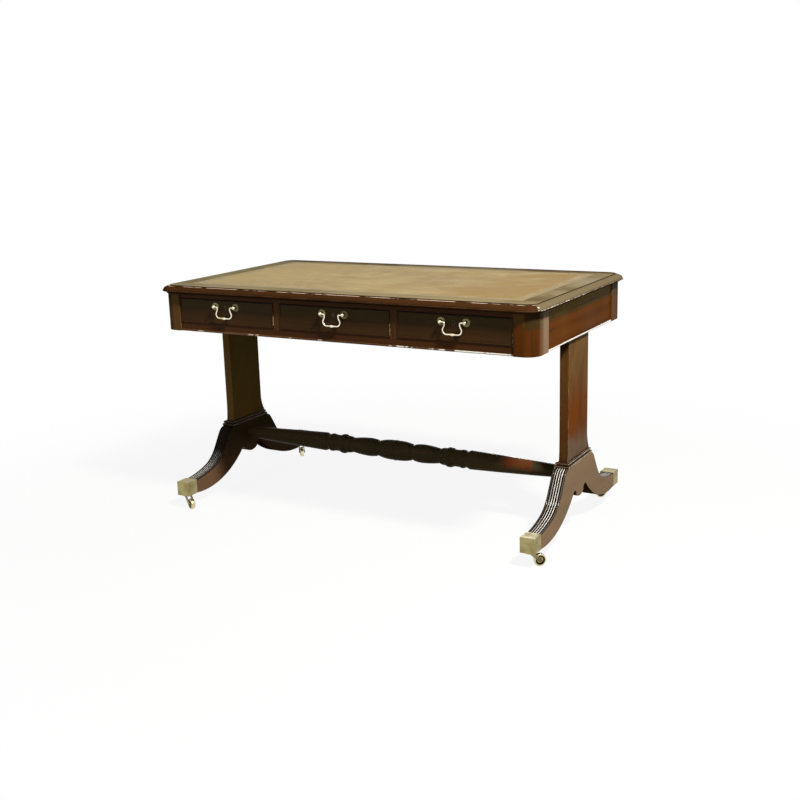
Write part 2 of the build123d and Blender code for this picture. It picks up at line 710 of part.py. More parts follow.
def foot():
    """Right foot: two reeded legs sweeping out to the caps, and a pendant between them."""
    blank = foot_blank()
    cutter = reed_cutter()
    blank = blank - cutter - mirror(cutter, about=Plane.XZ)
    blank = Pos(STANDARD_X, 0, 0) * blank
    blank = blank - lower_tenon(MORTISE_END_GAP) - stretcher_tenon(MORTISE_END_GAP)
    for y_side in (-1, 1):
        blank = blank + toe_block(1, y_side) - swivel_pocket(1, y_side)
        for screw in cap_screws(1, y_side, HOLE_CLEARANCE):
            blank = blank - screw
    return blank


def stretcher():
    """Turned stretcher between the feet, alike on both sides of its centre."""
    x = 0.0
    radius = STRETCHER_CENTRE_RADIUS
    edges = []
    for length, middle, end in STRETCHER_TURNINGS:
        edges += ThreePointArc((x, radius), (x + length / 2, middle), (x + length, end)).edges()
        x += length
        radius = end
    pole_end = STANDARD_X - FOOT_THICKNESS / 2
    bulge = (radius + STRETCHER_END_RADIUS) / 2 + STRETCHER_POLE_BULGE
    pole = ThreePointArc((x, radius), ((x + pole_end) / 2, bulge), (pole_end, STRETCHER_END_RADIUS))
    close = Polyline((pole_end, STRETCHER_END_RADIUS), (pole_end, 0), (0, 0), (0, STRETCHER_CENTRE_RADIUS))
    profile = make_face([*edges, *pole.edges(), *close.edges()])
    half = revolve(profile, axis=Axis.X)
    half = Pos(0, 0, STRETCHER_Z) * half + stretcher_tenon(0)
    return half + mirror(half, about=Plane.YZ)


# Toe caps and castors

def cap_screws(x_side, y_side, clearance):
    """Round-headed, slotted screws through both cheeks of a cap into the leg."""
    y = FOOT_SPAN / 2 - CAP_SCREW_INSET
    z = CAP_TOP - CAP_SCREW_INSET
    face = FOOT_THICKNESS / 2 + CAP_PROUD
    solids = []
    for cheek in (-1, 1):
        start = (STANDARD_X + cheek * face, y, z)
        shank = rod(CAP_SCREW_RADIUS + clearance, start, (-cheek, 0, 0), CAP_SCREW_LENGTH + clearance)
        head = rod(CAP_SCREW_HEAD_RADIUS, start, (cheek, 0, 0), CAP_SCREW_HEAD_HEIGHT)
        rim = head.faces().sort_by(Axis.X)[0 if cheek < 0 else -1].edges()
        head = fillet(rim, CAP_SCREW_HEAD_HEIGHT / 2)
        slot_middle = start[0] + cheek * (CAP_SCREW_HEAD_HEIGHT - SCREW_SLOT_DEPTH / 2)
        slot = block(
            span(slot_middle, SCREW_SLOT_DEPTH), span(y, SCREW_SLOT_WIDTH), span(z, 2 * CAP_SCREW_HEAD_RADIUS)
        )
        solids.append(to_corner(shank + head - slot, x_side, y_side))
    return solids


def toe_cap(x_side, y_side):
    """Brass cap over the end of a leg, with a thicker base for the castor's swivel pin."""
    width = FOOT_THICKNESS + 2 * CAP_PROUD
    cap = block(span(STANDARD_X, width), (LEG_END_Y, FOOT_SPAN / 2), (CAP_BOTTOM, CAP_TOP))
    rims = cap.edges().filter_by(Axis.Y) + cap.faces().sort_by(Axis.Y)[-1].edges()
    cap = fillet(rims, CAP_EDGE_ROUND)
    hole = rod(SWIVEL_PIN_RADIUS + PIN_CLEARANCE, (STANDARD_X, CASTOR_Y, CAP_BOTTOM), (0, 0, 1), CAP_BASE)
    cap = to_corner(cap - hole, x_side, y_side) - toe_block(x_side, y_side)
    for screw in cap_screws(x_side, y_side, HOLE_CLEARANCE):
        cap = cap - screw
    return cap


def at_castor(name, shape):
    """Place a castor piece, made about its swivel axis and trailing along X, under its toe cap."""
    x_side, y_side = CORNERS[name]
    return Pos(x_side * STANDARD_X, y_side * CASTOR_Y, 0) * Rot(0, 0, CASTOR_TURN[name]) * shape


def castor_fork():
    """Fork with its swivel pin, and the riveted axle that carries the wheel."""
    axle_z = WHEEL_DIAMETER / 2
    crown_bottom = CAP_BOTTOM - SWIVEL_GAP - CROWN_THICKNESS
    inner = WHEEL_WIDTH / 2 + CHEEK_GAP
    outer = inner + CHEEK_THICKNESS
    crown = rod(CROWN_RADIUS, (0, 0, crown_bottom), (0, 0, 1), CROWN_THICKNESS)
    pin_length = CROWN_THICKNESS + SWIVEL_GAP + CAP_BASE + SWIVEL_GAP
    pin = rod(SWIVEL_PIN_RADIUS, (0, 0, crown_bottom), (0, 0, 1), pin_length)
    head = rod(SWIVEL_HEAD_RADIUS, (0, 0, crown_bottom + pin_length), (0, 0, 1), SWIVEL_HEAD_HEIGHT)
    boss = Pos(CASTOR_TRAIL, axle_z) * Circle(CHEEK_END_RADIUS)
    seat = Pos(0, crown_bottom + CROWN_THICKNESS / 2) * Rectangle(CHEEK_CROWN_WIDTH, CROWN_THICKNESS)
    cheek = make_hull(boss.edges() + seat.edges())
    fork = crown + pin + head
    for low in (inner, -outer):
        plane = Plane(origin=(0, low, 0), x_dir=(1, 0, 0), z_dir=(0, -1, 0))
        fork = fork + extrude(plane * cheek, amount=-CHEEK_THICKNESS)
    axle_hole = rod(AXLE_RADIUS, (CASTOR_TRAIL, -outer, axle_z), (0, 1, 0), 2 * outer)
    return [fork - axle_hole, castor_axle(outer, axle_z)]


def castor_axle(outer, axle_z):
    """Axle pin with a riveted head outside each cheek of the fork."""
    axle = rod(AXLE_RADIUS, (CASTOR_TRAIL, -outer, axle_z), (0, 1, 0), 2 * outer)
    for side in (-1, 1):
        face = (CASTOR_TRAIL, side * outer, axle_z)
        axle = axle + rod(AXLE_HEAD_RADIUS, face, (0, side, 0), AXLE_HEAD_HEIGHT)
    return axle


def castor_wheel():
    """Brass wheel with a rounded tread, dished faces and a hub."""
    radius = WHEEL_DIAMETER / 2
    half = WHEEL_WIDTH / 2
    bore = AXLE_RADIUS + PIN_CLEARANCE
    outline = Polyline(
        (bore, half), (WHEEL_HUB_RADIUS, half), (WHEEL_HUB_RADIUS, half - WHEEL_DISH),
        (radius - WHEEL_RIM, half - WHEEL_DISH), (radius - WHEEL_RIM, half), (radius, half),
        (radius, -half), (radius - WHEEL_RIM, -half), (radius - WHEEL_RIM, WHEEL_DISH - half),
        (WHEEL_HUB_RADIUS, WHEEL_DISH - half), (WHEEL_HUB_RADIUS, -half), (bore, -half), close=True
    )
    profile = make_face(outline)
    tread = profile.vertices().group_by(Axis.X)[-1]
    profile = fillet(tread, WHEEL_TREAD_ROUND)
    wheel = revolve(profile, axis=Axis.Y)
    return Pos(CASTOR_TRAIL, 0, radius) * wheel


# Drawers

def drawer_widths(opening):
    """Width over the cock beads, and of the front and box between them."""
    outer = opening - 2 * FRONT_GAP
    return outer, outer - 2 * COCKBEAD_THICKNESS


def front_levels():
    """Low and high levels of a drawer front between its cock beads."""
    edge = FRONT_GAP + COCKBEAD_THICKNESS
    return (OPENING_BOTTOM + edge, OPENING_TOP - edge)


def dovetails(low_x, high_x):
    """Tails at the front end of one drawer side."""
    low = front_levels()[0] + DOVETAIL_MARGIN
    pitch = (DRAWER_SIDE_TOP - DOVETAIL_MARGIN - low) / DOVETAIL_COUNT
    tip = DRAWER_FRONT_BACK - DOVETAIL_LENGTH
    tails = []
    for index in range(DOVETAIL_COUNT):
        z = low + (index + 0.5) * pitch
        root_half = DOVETAIL_ROOT / 2
        tip_half = DOVETAIL_TIP / 2
        outline = Polyline(
            (DRAWER_FRONT_BACK, z - root_half), (DRAWER_FRONT_BACK, z + root_half),
            (tip, z + tip_half), (tip, z - tip_half), close=True
        )
        tail = extrude(Plane.YZ * make_face(outline), amount=high_x - low_x, dir=(1, 0, 0))
        tails.append(Pos(low_x, 0, 0) * tail)
    return tails


def drawer_bottom(centre, opening):
    """Bottom panel, held in grooves of the sides and the front."""
    inner = drawer_widths(opening)[1] - 2 * DRAWER_SIDE_THICKNESS
    low = DRAWER_SIDE_BOTTOM + DRAWER_BOTTOM_LIFT
    levels = (low, low + DRAWER_BOTTOM_THICKNESS)
    panel = block(span(centre, inner + 2 * GROOVE_DEPTH), (DRAWER_FRONT_BACK, DRAWER_REAR), levels)
    tongue = block(span(centre, inner), (DRAWER_FRONT_BACK - GROOVE_DEPTH, DRAWER_FRONT_BACK), levels)
    return panel + tongue


def drawer_sides(centre, opening):
    """Two sides, dovetailed into the front and grooved for the bottom."""
    width = drawer_widths(opening)[1]
    solids = []
    for side in (-1, 1):
        edges = sorted((centre + side * width / 2, centre + side * (width / 2 - DRAWER_SIDE_THICKNESS)))
        plank = block(edges, (DRAWER_FRONT_BACK, DRAWER_REAR), (DRAWER_SIDE_BOTTOM, DRAWER_SIDE_TOP))
        for tail in dovetails(*edges):
            plank = plank + tail
        solids.append(plank - drawer_bottom(centre, opening))
    return solids


def drawer_back(centre, opening):
    """Back between the sides, standing on the bottom."""
    inner = drawer_widths(opening)[1] - 2 * DRAWER_SIDE_THICKNESS
    rear = DRAWER_REAR - DRAWER_BACK_INSET
    low = DRAWER_SIDE_BOTTOM + DRAWER_BOTTOM_LIFT + DRAWER_BOTTOM_THICKNESS
    levels = (low, DRAWER_SIDE_TOP - DRAWER_BACK_DROP)
    return block(span(centre, inner), (rear - DRAWER_BACK_THICKNESS, rear), levels)


def keyhole(margin):
    """Keyhole outline on the drawer front, about the height of the handle posts."""
    width = KEYHOLE_SLOT_WIDTH + 2 * margin
    slot = Rectangle(width, KEYHOLE_SLOT_DROP + margin, align=(Align.CENTER, Align.MAX))
    return Circle(KEYHOLE_RADIUS + margin) + slot


def front_plane(centre, depth):
    """Plane that faces the front at a depth behind the drawer faces."""
    return Plane(origin=(centre, depth - FRIEZE_Y, HANDLE_Z), x_dir=(1, 0, 0), z_dir=(0, -1, 0))


def drawer_front(centre, opening):
    """Front with sockets for the dovetails, a groove for the bottom, and holes for the fittings."""
    width = drawer_widths(opening)[1]
    front = block(span(centre, width), (-FRIEZE_Y, DRAWER_FRONT_BACK), front_levels())
    for plank in drawer_sides(centre, opening):
        front = front - plank
    front = front - drawer_bottom(centre, opening)
    for x in handle_places(centre):
        face = (x, -FRIEZE_Y, HANDLE_Z)
        front = front - rod(SHANK_RADIUS + HOLE_CLEARANCE, face, (0, 1, 0), DRAWER_FRONT_THICKNESS)
    hole = extrude(front_plane(centre, 0) * keyhole(LINER_WALL), amount=-DRAWER_FRONT_THICKNESS)
    return front - hole


def cockbeads(centre, opening):
    """Four thin beads round a drawer front, standing a little proud of it."""
    outer, inner = drawer_widths(opening)
    depth = (-FRIEZE_Y - COCKBEAD_PROUD, DRAWER_FRONT_BACK)
    low, high = front_levels()
    solids = []
    for level in (low - COCKBEAD_THICKNESS, high):
        strip = block(span(centre, outer), depth, (level, level + COCKBEAD_THICKNESS))
        nose = strip.edges().filter_by(Axis.X).group_by(Axis.Y)[0]
        solids.append(fillet(nose, COCKBEAD_NOSE))
    for side in (-1, 1):
        x = centre + side * (outer - COCKBEAD_THICKNESS) / 2
        strip = block(span(x, COCKBEAD_THICKNESS), depth, (low, high))
        nose = strip.edges().filter_by(Axis.Z).group_by(Axis.Y)[0]
        solids.append(fillet(nose, COCKBEAD_NOSE))
    return solids


# Handles and locks

def handle_places(centre):
    """X of the two posts of a handle."""
    return span(centre, HANDLE_CENTRES)


def handle_post():
    """Rose, neck, ball and shank of one post, turned about the Y axis through the drawer face."""
    ball_rear = math.sqrt(BALL_RADIUS ** 2 - NECK_RADIUS ** 2)
    shank_end = DRAWER_FRONT_THICKNESS + SHANK_BEYOND
    rose = Polyline(
        (0, shank_end), (SHANK_RADIUS, shank_end), (SHANK_RADIUS, 0), (ROSE_RADIUS, 0),
        (ROSE_RADIUS, -ROSE_THICKNESS / 2), (ROSE_LIP_RADIUS, -ROSE_THICKNESS)
    )
    dish = ThreePointArc(
        rose @ 1, (ROSE_DISH_RADIUS, -ROSE_DISH_HEIGHT), (NECK_RADIUS, ball_rear - BALL_STANDOFF)
    )
    ball = ThreePointArc(
        dish @ 1, (BALL_RADIUS, -BALL_STANDOFF), (0, -BALL_STANDOFF - BALL_RADIUS)
    )
    axis = Line(ball @ 1, rose @ 0)
    profile = make_face([*rose.edges(), *dish.edges(), *ball.edges(), *axis.edges()])
    return revolve(profile, axis=Axis.Y)


def handle_mounts(centre):
    """Two posts with their nuts inside the drawer; each ball is drilled for the bail's pin."""
    solids = []
    drill = HANDLE_CENTRES / 2 + BAIL_PIN_PAST_CENTRE + PIN_END_GAP
    hole = rod(BAIL_RADIUS + PIN_CLEARANCE, (centre - drill, BALL_Y, HANDLE_Z), (1, 0, 0), 2 * drill)
    nut_face = Plane(origin=(0, DRAWER_FRONT_THICKNESS, 0), z_dir=(0, 1, 0))
    nut = extrude(nut_face * (RegularPolygon(NUT_RADIUS, 6) - Circle(SHANK_RADIUS)), amount=NUT_THICKNESS)
    for x in handle_places(centre):
        place = Pos(x, -FRIEZE_Y, HANDLE_Z)
        solids.append(place * handle_post() - hole)
        solids.append(place * nut)
    return solids


def handle_bail(centre):
    """Swan-neck bail whose ends turn in the balls of the posts, thicker in the middle of its grip."""
    pin = HANDLE_CENTRES / 2 + BAIL_PIN_PAST_CENTRE
    half = [
        (pin, 0),
        (BAIL_NECK_HALF, 0),
        (BAIL_NECK_HALF, -BAIL_NECK_DROP),
        (BAIL_BELLY_HALF, -BAIL_BELLY_DROP),
        (BAIL_FOOT_HALF, -BAIL_DROP),
    ]
    radii = [BAIL_ELBOW_RADIUS, BAIL_NECK_RADIUS, BAIL_BELLY_RADIUS, BAIL_FOOT_RADIUS]
    points = half + [(-x, z) for x, z in reversed(half)]
    route = FilletPolyline(*points, radius=radii + radii[::-1])
    plane = Plane(origin=(centre, BALL_Y, HANDLE_Z), x_dir=(1, 0, 0), z_dir=(0, -1, 0))
    path = plane * route
    wire = sweep(Plane(origin=path @ 0, z_dir=path % 0) * Circle(BAIL_RADIUS), path=path)
    swell = ThreePointArc((-BAIL_SWELL_HALF, 0), (0, BAIL_SWELL_RADIUS), (BAIL_SWELL_HALF, 0))
    base = Line((-BAIL_SWELL_HALF, 0), (BAIL_SWELL_HALF, 0))
    grip = revolve(make_face([*swell.edges(), *base.edges()]), axis=Axis.X)
    return wire + Pos(centre, BALL_Y, HANDLE_Z - BAIL_DROP) * grip


def drawer_lock(centre):
    """Lock case behind the front, and the brass liner of its keyhole."""
    top = HANDLE_Z + LOCK_RISE
    depth = (DRAWER_FRONT_BACK, DRAWER_FRONT_BACK + LOCK_THICKNESS)
    case = block(span(centre, LOCK_WIDTH), depth, (top - LOCK_HEIGHT, top))
    ring = keyhole(LINER_WALL) - keyhole(0)
    liner = extrude(front_plane(centre, LINER_DEPTH) * ring, amount=LINER_DEPTH + LINER_PROUD)
    return [case, liner]


def drawer_nodes(name, centre, opening):
    """All the pieces of one drawer by node name."""
    return {
        "drawer_front_" + name: drawer_front(centre, opening),
        "drawer_sides_" + name: drawer_sides(centre, opening),
        "drawer_back_" + name: drawer_back(centre, opening),
        "drawer_bottom_" + name: drawer_bottom(centre, opening),
        "cockbeads_" + name: cockbeads(centre, opening),
        "handle_mounts_" + name: handle_mounts(centre),
        "handle_bail_" + name: handle_bail(centre),
        "drawer_lock_" + name: drawer_lock(centre),
    }


def frame_nodes():
    """All the pieces that stay still, by node name."""
    nodes = {
        "top_board": top_board(),
        "writing_leather": leather_plate(DESK_HEIGHT - LEATHER_SINK, LEATHER_THICKNESS),
        "rear_rail": rear_rail(),
        "front_top_rail": front_rail(OPENING_TOP, FRIEZE_TOP),
        "front_bottom_rail": front_rail(FRIEZE_BOTTOM, OPENING_BOTTOM),
        "drawer_dividers": dividers(),
        "apron_beads": apron_beads(),
        "drawer_runners": drawer_runners() + drawer_kickers(),
        "drawer_stops": drawer_stops(),
        "top_screws": top_screws(),
        "stretcher": stretcher(),
    }
    nodes.update(corner_posts())
    makers = {"end_rail": end_rail, "upright": upright, "collar": collar, "foot": foot}
    for piece, make in makers.items():
        right = make()
        nodes[piece + "_right"] = right
        nodes[piece + "_left"] = mirror(right, about=Plane.YZ)
    screws = []
    for name, (x_side, y_side) in CORNERS.items():
        nodes["toe_cap_" + name] = toe_cap(x_side, y_side)
        screws += cap_screws(x_side, y_side, 0)
    nodes["cap_screws"] = screws
    return nodes


def castor_nodes(name):
    """The turning pieces of one castor by node name."""
    return {
        "castor_fork_" + name: [at_castor(name, piece) for piece in castor_fork()],
        "castor_wheel_" + name: at_castor(name, castor_wheel()),
    }


def all_nodes():
    """Every piece of the desk by node name."""
    nodes = frame_nodes()
    for name, (centre, opening) in DRAWERS.items():
        nodes.update(drawer_nodes(name, centre, opening))
    for name in CORNERS:
        nodes.update(castor_nodes(name))
    return nodes


os.makedirs("parts", exist_ok=True)
for node, shape in all_nodes().items():
    solids = shape if isinstance(shape, list) else [shape]
    bodies = [solid for piece in solids for solid in piece.solids()]
    export_step(bodies[0] if len(bodies) == 1 else Compound(bodies), f"parts/{node}.step")
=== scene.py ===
import logging
import math
from dataclasses import dataclass, field, replace
from enum import Enum
from functools import cached_property
from typing import Optional, Union

import bmesh
import bpy
from mathutils import Matrix, Vector


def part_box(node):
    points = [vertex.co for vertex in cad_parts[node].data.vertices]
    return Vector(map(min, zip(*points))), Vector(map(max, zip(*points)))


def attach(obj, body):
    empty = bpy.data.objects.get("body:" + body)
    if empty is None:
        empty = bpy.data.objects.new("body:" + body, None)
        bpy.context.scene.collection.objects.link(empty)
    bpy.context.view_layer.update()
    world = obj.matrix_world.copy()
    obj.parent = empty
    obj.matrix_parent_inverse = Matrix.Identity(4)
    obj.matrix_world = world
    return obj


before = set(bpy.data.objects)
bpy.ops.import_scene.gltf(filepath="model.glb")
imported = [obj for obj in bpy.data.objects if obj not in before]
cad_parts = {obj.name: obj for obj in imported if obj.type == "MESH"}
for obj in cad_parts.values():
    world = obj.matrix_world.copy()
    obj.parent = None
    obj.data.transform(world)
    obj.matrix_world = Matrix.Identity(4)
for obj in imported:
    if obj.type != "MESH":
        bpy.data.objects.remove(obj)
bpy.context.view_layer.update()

LOG = logging.getLogger("writing_desk")

Colour = tuple[float, float, float]
Point = tuple[float, float, float]
Pair = tuple[float, float]
Socket = bpy.types.NodeSocket
Outputs = bpy.types.NodeOutputs
Group = bpy.types.NodeTree
Material = bpy.types.Material
Feed = Union[Socket, float, Point]

SIDES = ("left", "right")
DRAWER_PLACES = ("left", "middle", "right")
CORNERS = ("front_left", "front_right", "rear_left", "rear_right")
WHITE: Colour = (1.0, 1.0, 1.0)
ORIGIN: Point = (0.0, 0.0, 0.0)
MERGE_DISTANCE = 1e-6
# Blender's Mix node has several sockets called A, B and Result, so they go by number.
COLOUR_A, COLOUR_B, COLOUR_RESULT = 6, 7, 2
VALUE_A, VALUE_B, VALUE_RESULT = 2, 3, 0


class Along(Enum):
    """The way that the grain of a piece of wood runs."""

    LENGTH = "XYZ"
    DEPTH = "YXZ"
    HEIGHT = "ZXY"


@dataclass(frozen=True)
class Ramp:
    """A smooth change of a value, from start at low to end at high."""

    low: float
    high: float
    start: float = 0.0
    end: float = 1.0

    def moved(self, by: float) -> "Ramp":
        """The same change, further along by a distance."""
        return replace(self, low=self.low + by, high=self.high + by)

    def scaled(self, by: float) -> "Ramp":
        """The same change over a range that is longer by a factor."""
        return replace(self, low=self.low * by, high=self.high * by)


@dataclass(frozen=True)
class Cloud:
    """Cloudy noise: clouds in a metre, smaller clouds on top, and how far they are pulled about."""

    scale: Union[float, Point]
    detail: float = 3.0
    distortion: float = 0.0


@dataclass
class Graph:
    """A shader tree with short ways to add and join its nodes."""

    tree: Group

    def add(self, kind: str, **settings: object) -> bpy.types.Node:
        """Add a node and set its options.

        Args:
            kind: Blender's name for the type of node.
            settings: Options of the node, by attribute name.

        Returns:
            The new node.
        """
        node = self.tree.nodes.new(kind)
        for name, value in settings.items():
            setattr(node, name, value)
        return node

    def feed(self, socket: Socket, value: Feed) -> None:
        """Join a socket to another, or set it to a plain value.

        Args:
            socket: Input socket to fill.
            value: Output socket, number, colour or vector.
        """
        if isinstance(value, Socket):
            self.tree.links.new(value, socket)
        elif socket.type == "RGBA":
            socket.default_value = (*value, 1.0)
        else:
            socket.default_value = value

    def parts(self, vector: Socket) -> Outputs:
        """Split a vector into its X, Y and Z.

        Args:
            vector: Vector to split.

        Returns:
            The three values.
        """
        node = self.add("ShaderNodeSeparateXYZ")
        self.feed(node.inputs[0], vector)
        return node.outputs

    def turned(self, vector: Socket, along: Along) -> Socket:
        """Reorder a place so that its X runs with the grain.

        Args:
            vector: Place on the piece.
            along: The way that the grain runs.

        Returns:
            The reordered place.
        """
        split = self.parts(vector)
        joined = self.add("ShaderNodeCombineXYZ")
        for index, axis in enumerate(along.value):
            self.feed(joined.inputs[index], split[axis])
        return joined.outputs[0]

    def vectors(self, operation: str, first: Socket, second: Union[Socket, Point] = ORIGIN) -> Outputs:
        """Work out one sum with vectors.

        Args:
            operation: Blender's name for the sum.
            first: First vector.
            second: Second vector, where the sum takes one.

        Returns:
            The answer, as a Vector or a Value.
        """
        node = self.add("ShaderNodeVectorMath", operation=operation)
        self.feed(node.inputs[0], first)
        self.feed(node.inputs[1], second)
        return node.outputs

    def maths(self, operation: str, first: Feed, second: Feed = 0.0, clamp: bool = False) -> Socket:
        """Work out one sum.

        Args:
            operation: Blender's name for the sum.
            first: First value.
            second: Second value, where the sum takes one.
            clamp: Whether to keep the answer between 0 and 1.

        Returns:
            The answer.
        """
        node = self.add("ShaderNodeMath", operation=operation, use_clamp=clamp)
        self.feed(node.inputs[0], first)
        self.feed(node.inputs[1], second)
        return node.outputs[0]

    def times(self, first: Feed, *others: Feed, clamp: bool = False) -> Socket:
        """Multiply values together.

        Args:
            first: First value.
            others: The values to multiply it by.
            clamp: Whether to keep the answer between 0 and 1.

        Returns:
            The answer.
        """
        for other in others:
            first = self.maths("MULTIPLY", first, other, clamp)
        return first

    def weighed(self, *terms: tuple[Socket, float]) -> Socket:
        """Add values up, each by its share.

        Args:
            terms: Each value with its share.

        Returns:
            The sum.
        """
        total, *others = [self.times(value, share) for value, share in terms]
        for other in others:
            total = self.maths("ADD", total, other)
        return total

    def off(self, value: Feed, middle: float) -> Socket:
        """How far a value is from a middle, on either side."""
        return self.maths("ABSOLUTE", self.maths("SUBTRACT", value, middle))

    def without(self, mask: Socket) -> Socket:
        """The opposite of a mask."""
        return self.maths("SUBTRACT", 1.0, mask)

    def noise(self, vector: Socket, cloud: Cloud) -> Socket:
        """Cloudy value between 0 and 1.

        Args:
            vector: Place on the piece.
            cloud: The clouds.

        Returns:
            The value.
        """
        node = self.add("ShaderNodeTexNoise")
        if isinstance(cloud.scale, float):
            node.inputs["Scale"].default_value = cloud.scale
        else:
            vector = self.vectors("MULTIPLY", vector, cloud.scale)["Vector"]
            node.inputs["Scale"].default_value = 1.0
        self.feed(node.inputs["Vector"], vector)
        node.inputs["Detail"].default_value = cloud.detail
        node.inputs["Distortion"].default_value = cloud.distortion
        return node.outputs[0]

    def ramp(self, value: Feed, change: Ramp) -> Socket:
        """Turn one range of values smoothly into another.

        Args:
            value: Value to change.
            change: The two ranges.

        Returns:
            The changed value.
        """
        node = self.add("ShaderNodeMapRange", interpolation_type="SMOOTHSTEP")
        for index, item in enumerate((value, change.low, change.high, change.start, change.end)):
            self.feed(node.inputs[index], item)
        return node.outputs[0]

    def patches(self, vector: Socket, cloud: Cloud, change: Ramp) -> Socket:
        """Patches cut out of cloudy noise."""
        return self.ramp(self.noise(vector, cloud), change)

    def mix(self, factor: Feed, first: Feed, second: Feed) -> Socket:
        """Mix two colours.

        Args:
            factor: Share of the second colour.
            first: First colour.
            second: Second colour.

        Returns:
            The mixed colour.
        """
        node = self.add("ShaderNodeMix", data_type="RGBA")
        self.feed(node.inputs["Factor"], factor)
        self.feed(node.inputs[COLOUR_A], first)
        self.feed(node.inputs[COLOUR_B], second)
        return node.outputs[COLOUR_RESULT]

    def bump(self, height: Feed, depth: float, normal: Feed) -> Socket:
        """Tilt the surface by a height.

        Args:
            height: Height between 0 and 1.
            depth: Real height of 1, in metres.
            normal: Direction of the surface before the bump.

        Returns:
            The tilted direction.
        """
        node = self.add("ShaderNodeBump")
        node.inputs["Distance"].default_value = depth
        self.feed(node.inputs["Height"], height)
        self.feed(node.inputs["Normal"], normal)
        return node.outputs[0]

    def plain_normal(self) -> Socket:
        """Direction of the surface before any bump."""
        return self.add("ShaderNodeNewGeometry").outputs["Normal"]

    def effect(self, group: Group, **values: Feed) -> Outputs:
        """Place a shared effect.

        Args:
            group: Node group of the effect.
            values: Its inputs by name.

        Returns:
            Its outputs.
        """
        node = self.add("ShaderNodeGroup", node_tree=group)
        for name, value in values.items():
            self.feed(node.inputs[name], value)
        return node.outputs


@dataclass
class Effect:
    """A shader node group under construction."""

    name: str
    inputs: dict[str, str]
    outputs: dict[str, str]
    graph: Graph = field(init=False)
    given: Outputs = field(init=False)
    result: bpy.types.NodeInputs = field(init=False)

    def __post_init__(self) -> None:
        """Make the group with its named sockets."""
        tree = bpy.data.node_groups.new(self.name, "ShaderNodeTree")
        for way, sockets in (("INPUT", self.inputs), ("OUTPUT", self.outputs)):
            for name, kind in sockets.items():
                tree.interface.new_socket(name=name, in_out=way, socket_type="NodeSocket" + kind)
        self.graph = Graph(tree)
        self.given = self.graph.add("NodeGroupInput").outputs
        self.result = self.graph.add("NodeGroupOutput").inputs

    def give(self, **values: Socket) -> Group:
        """Join the outputs and close the group.

        Args:
            values: Sockets by the name of the output that they feed.

        Returns:
            The finished group.
        """
        for name, value in values.items():
            self.graph.feed(self.result[name], value)
        return self.graph.tree


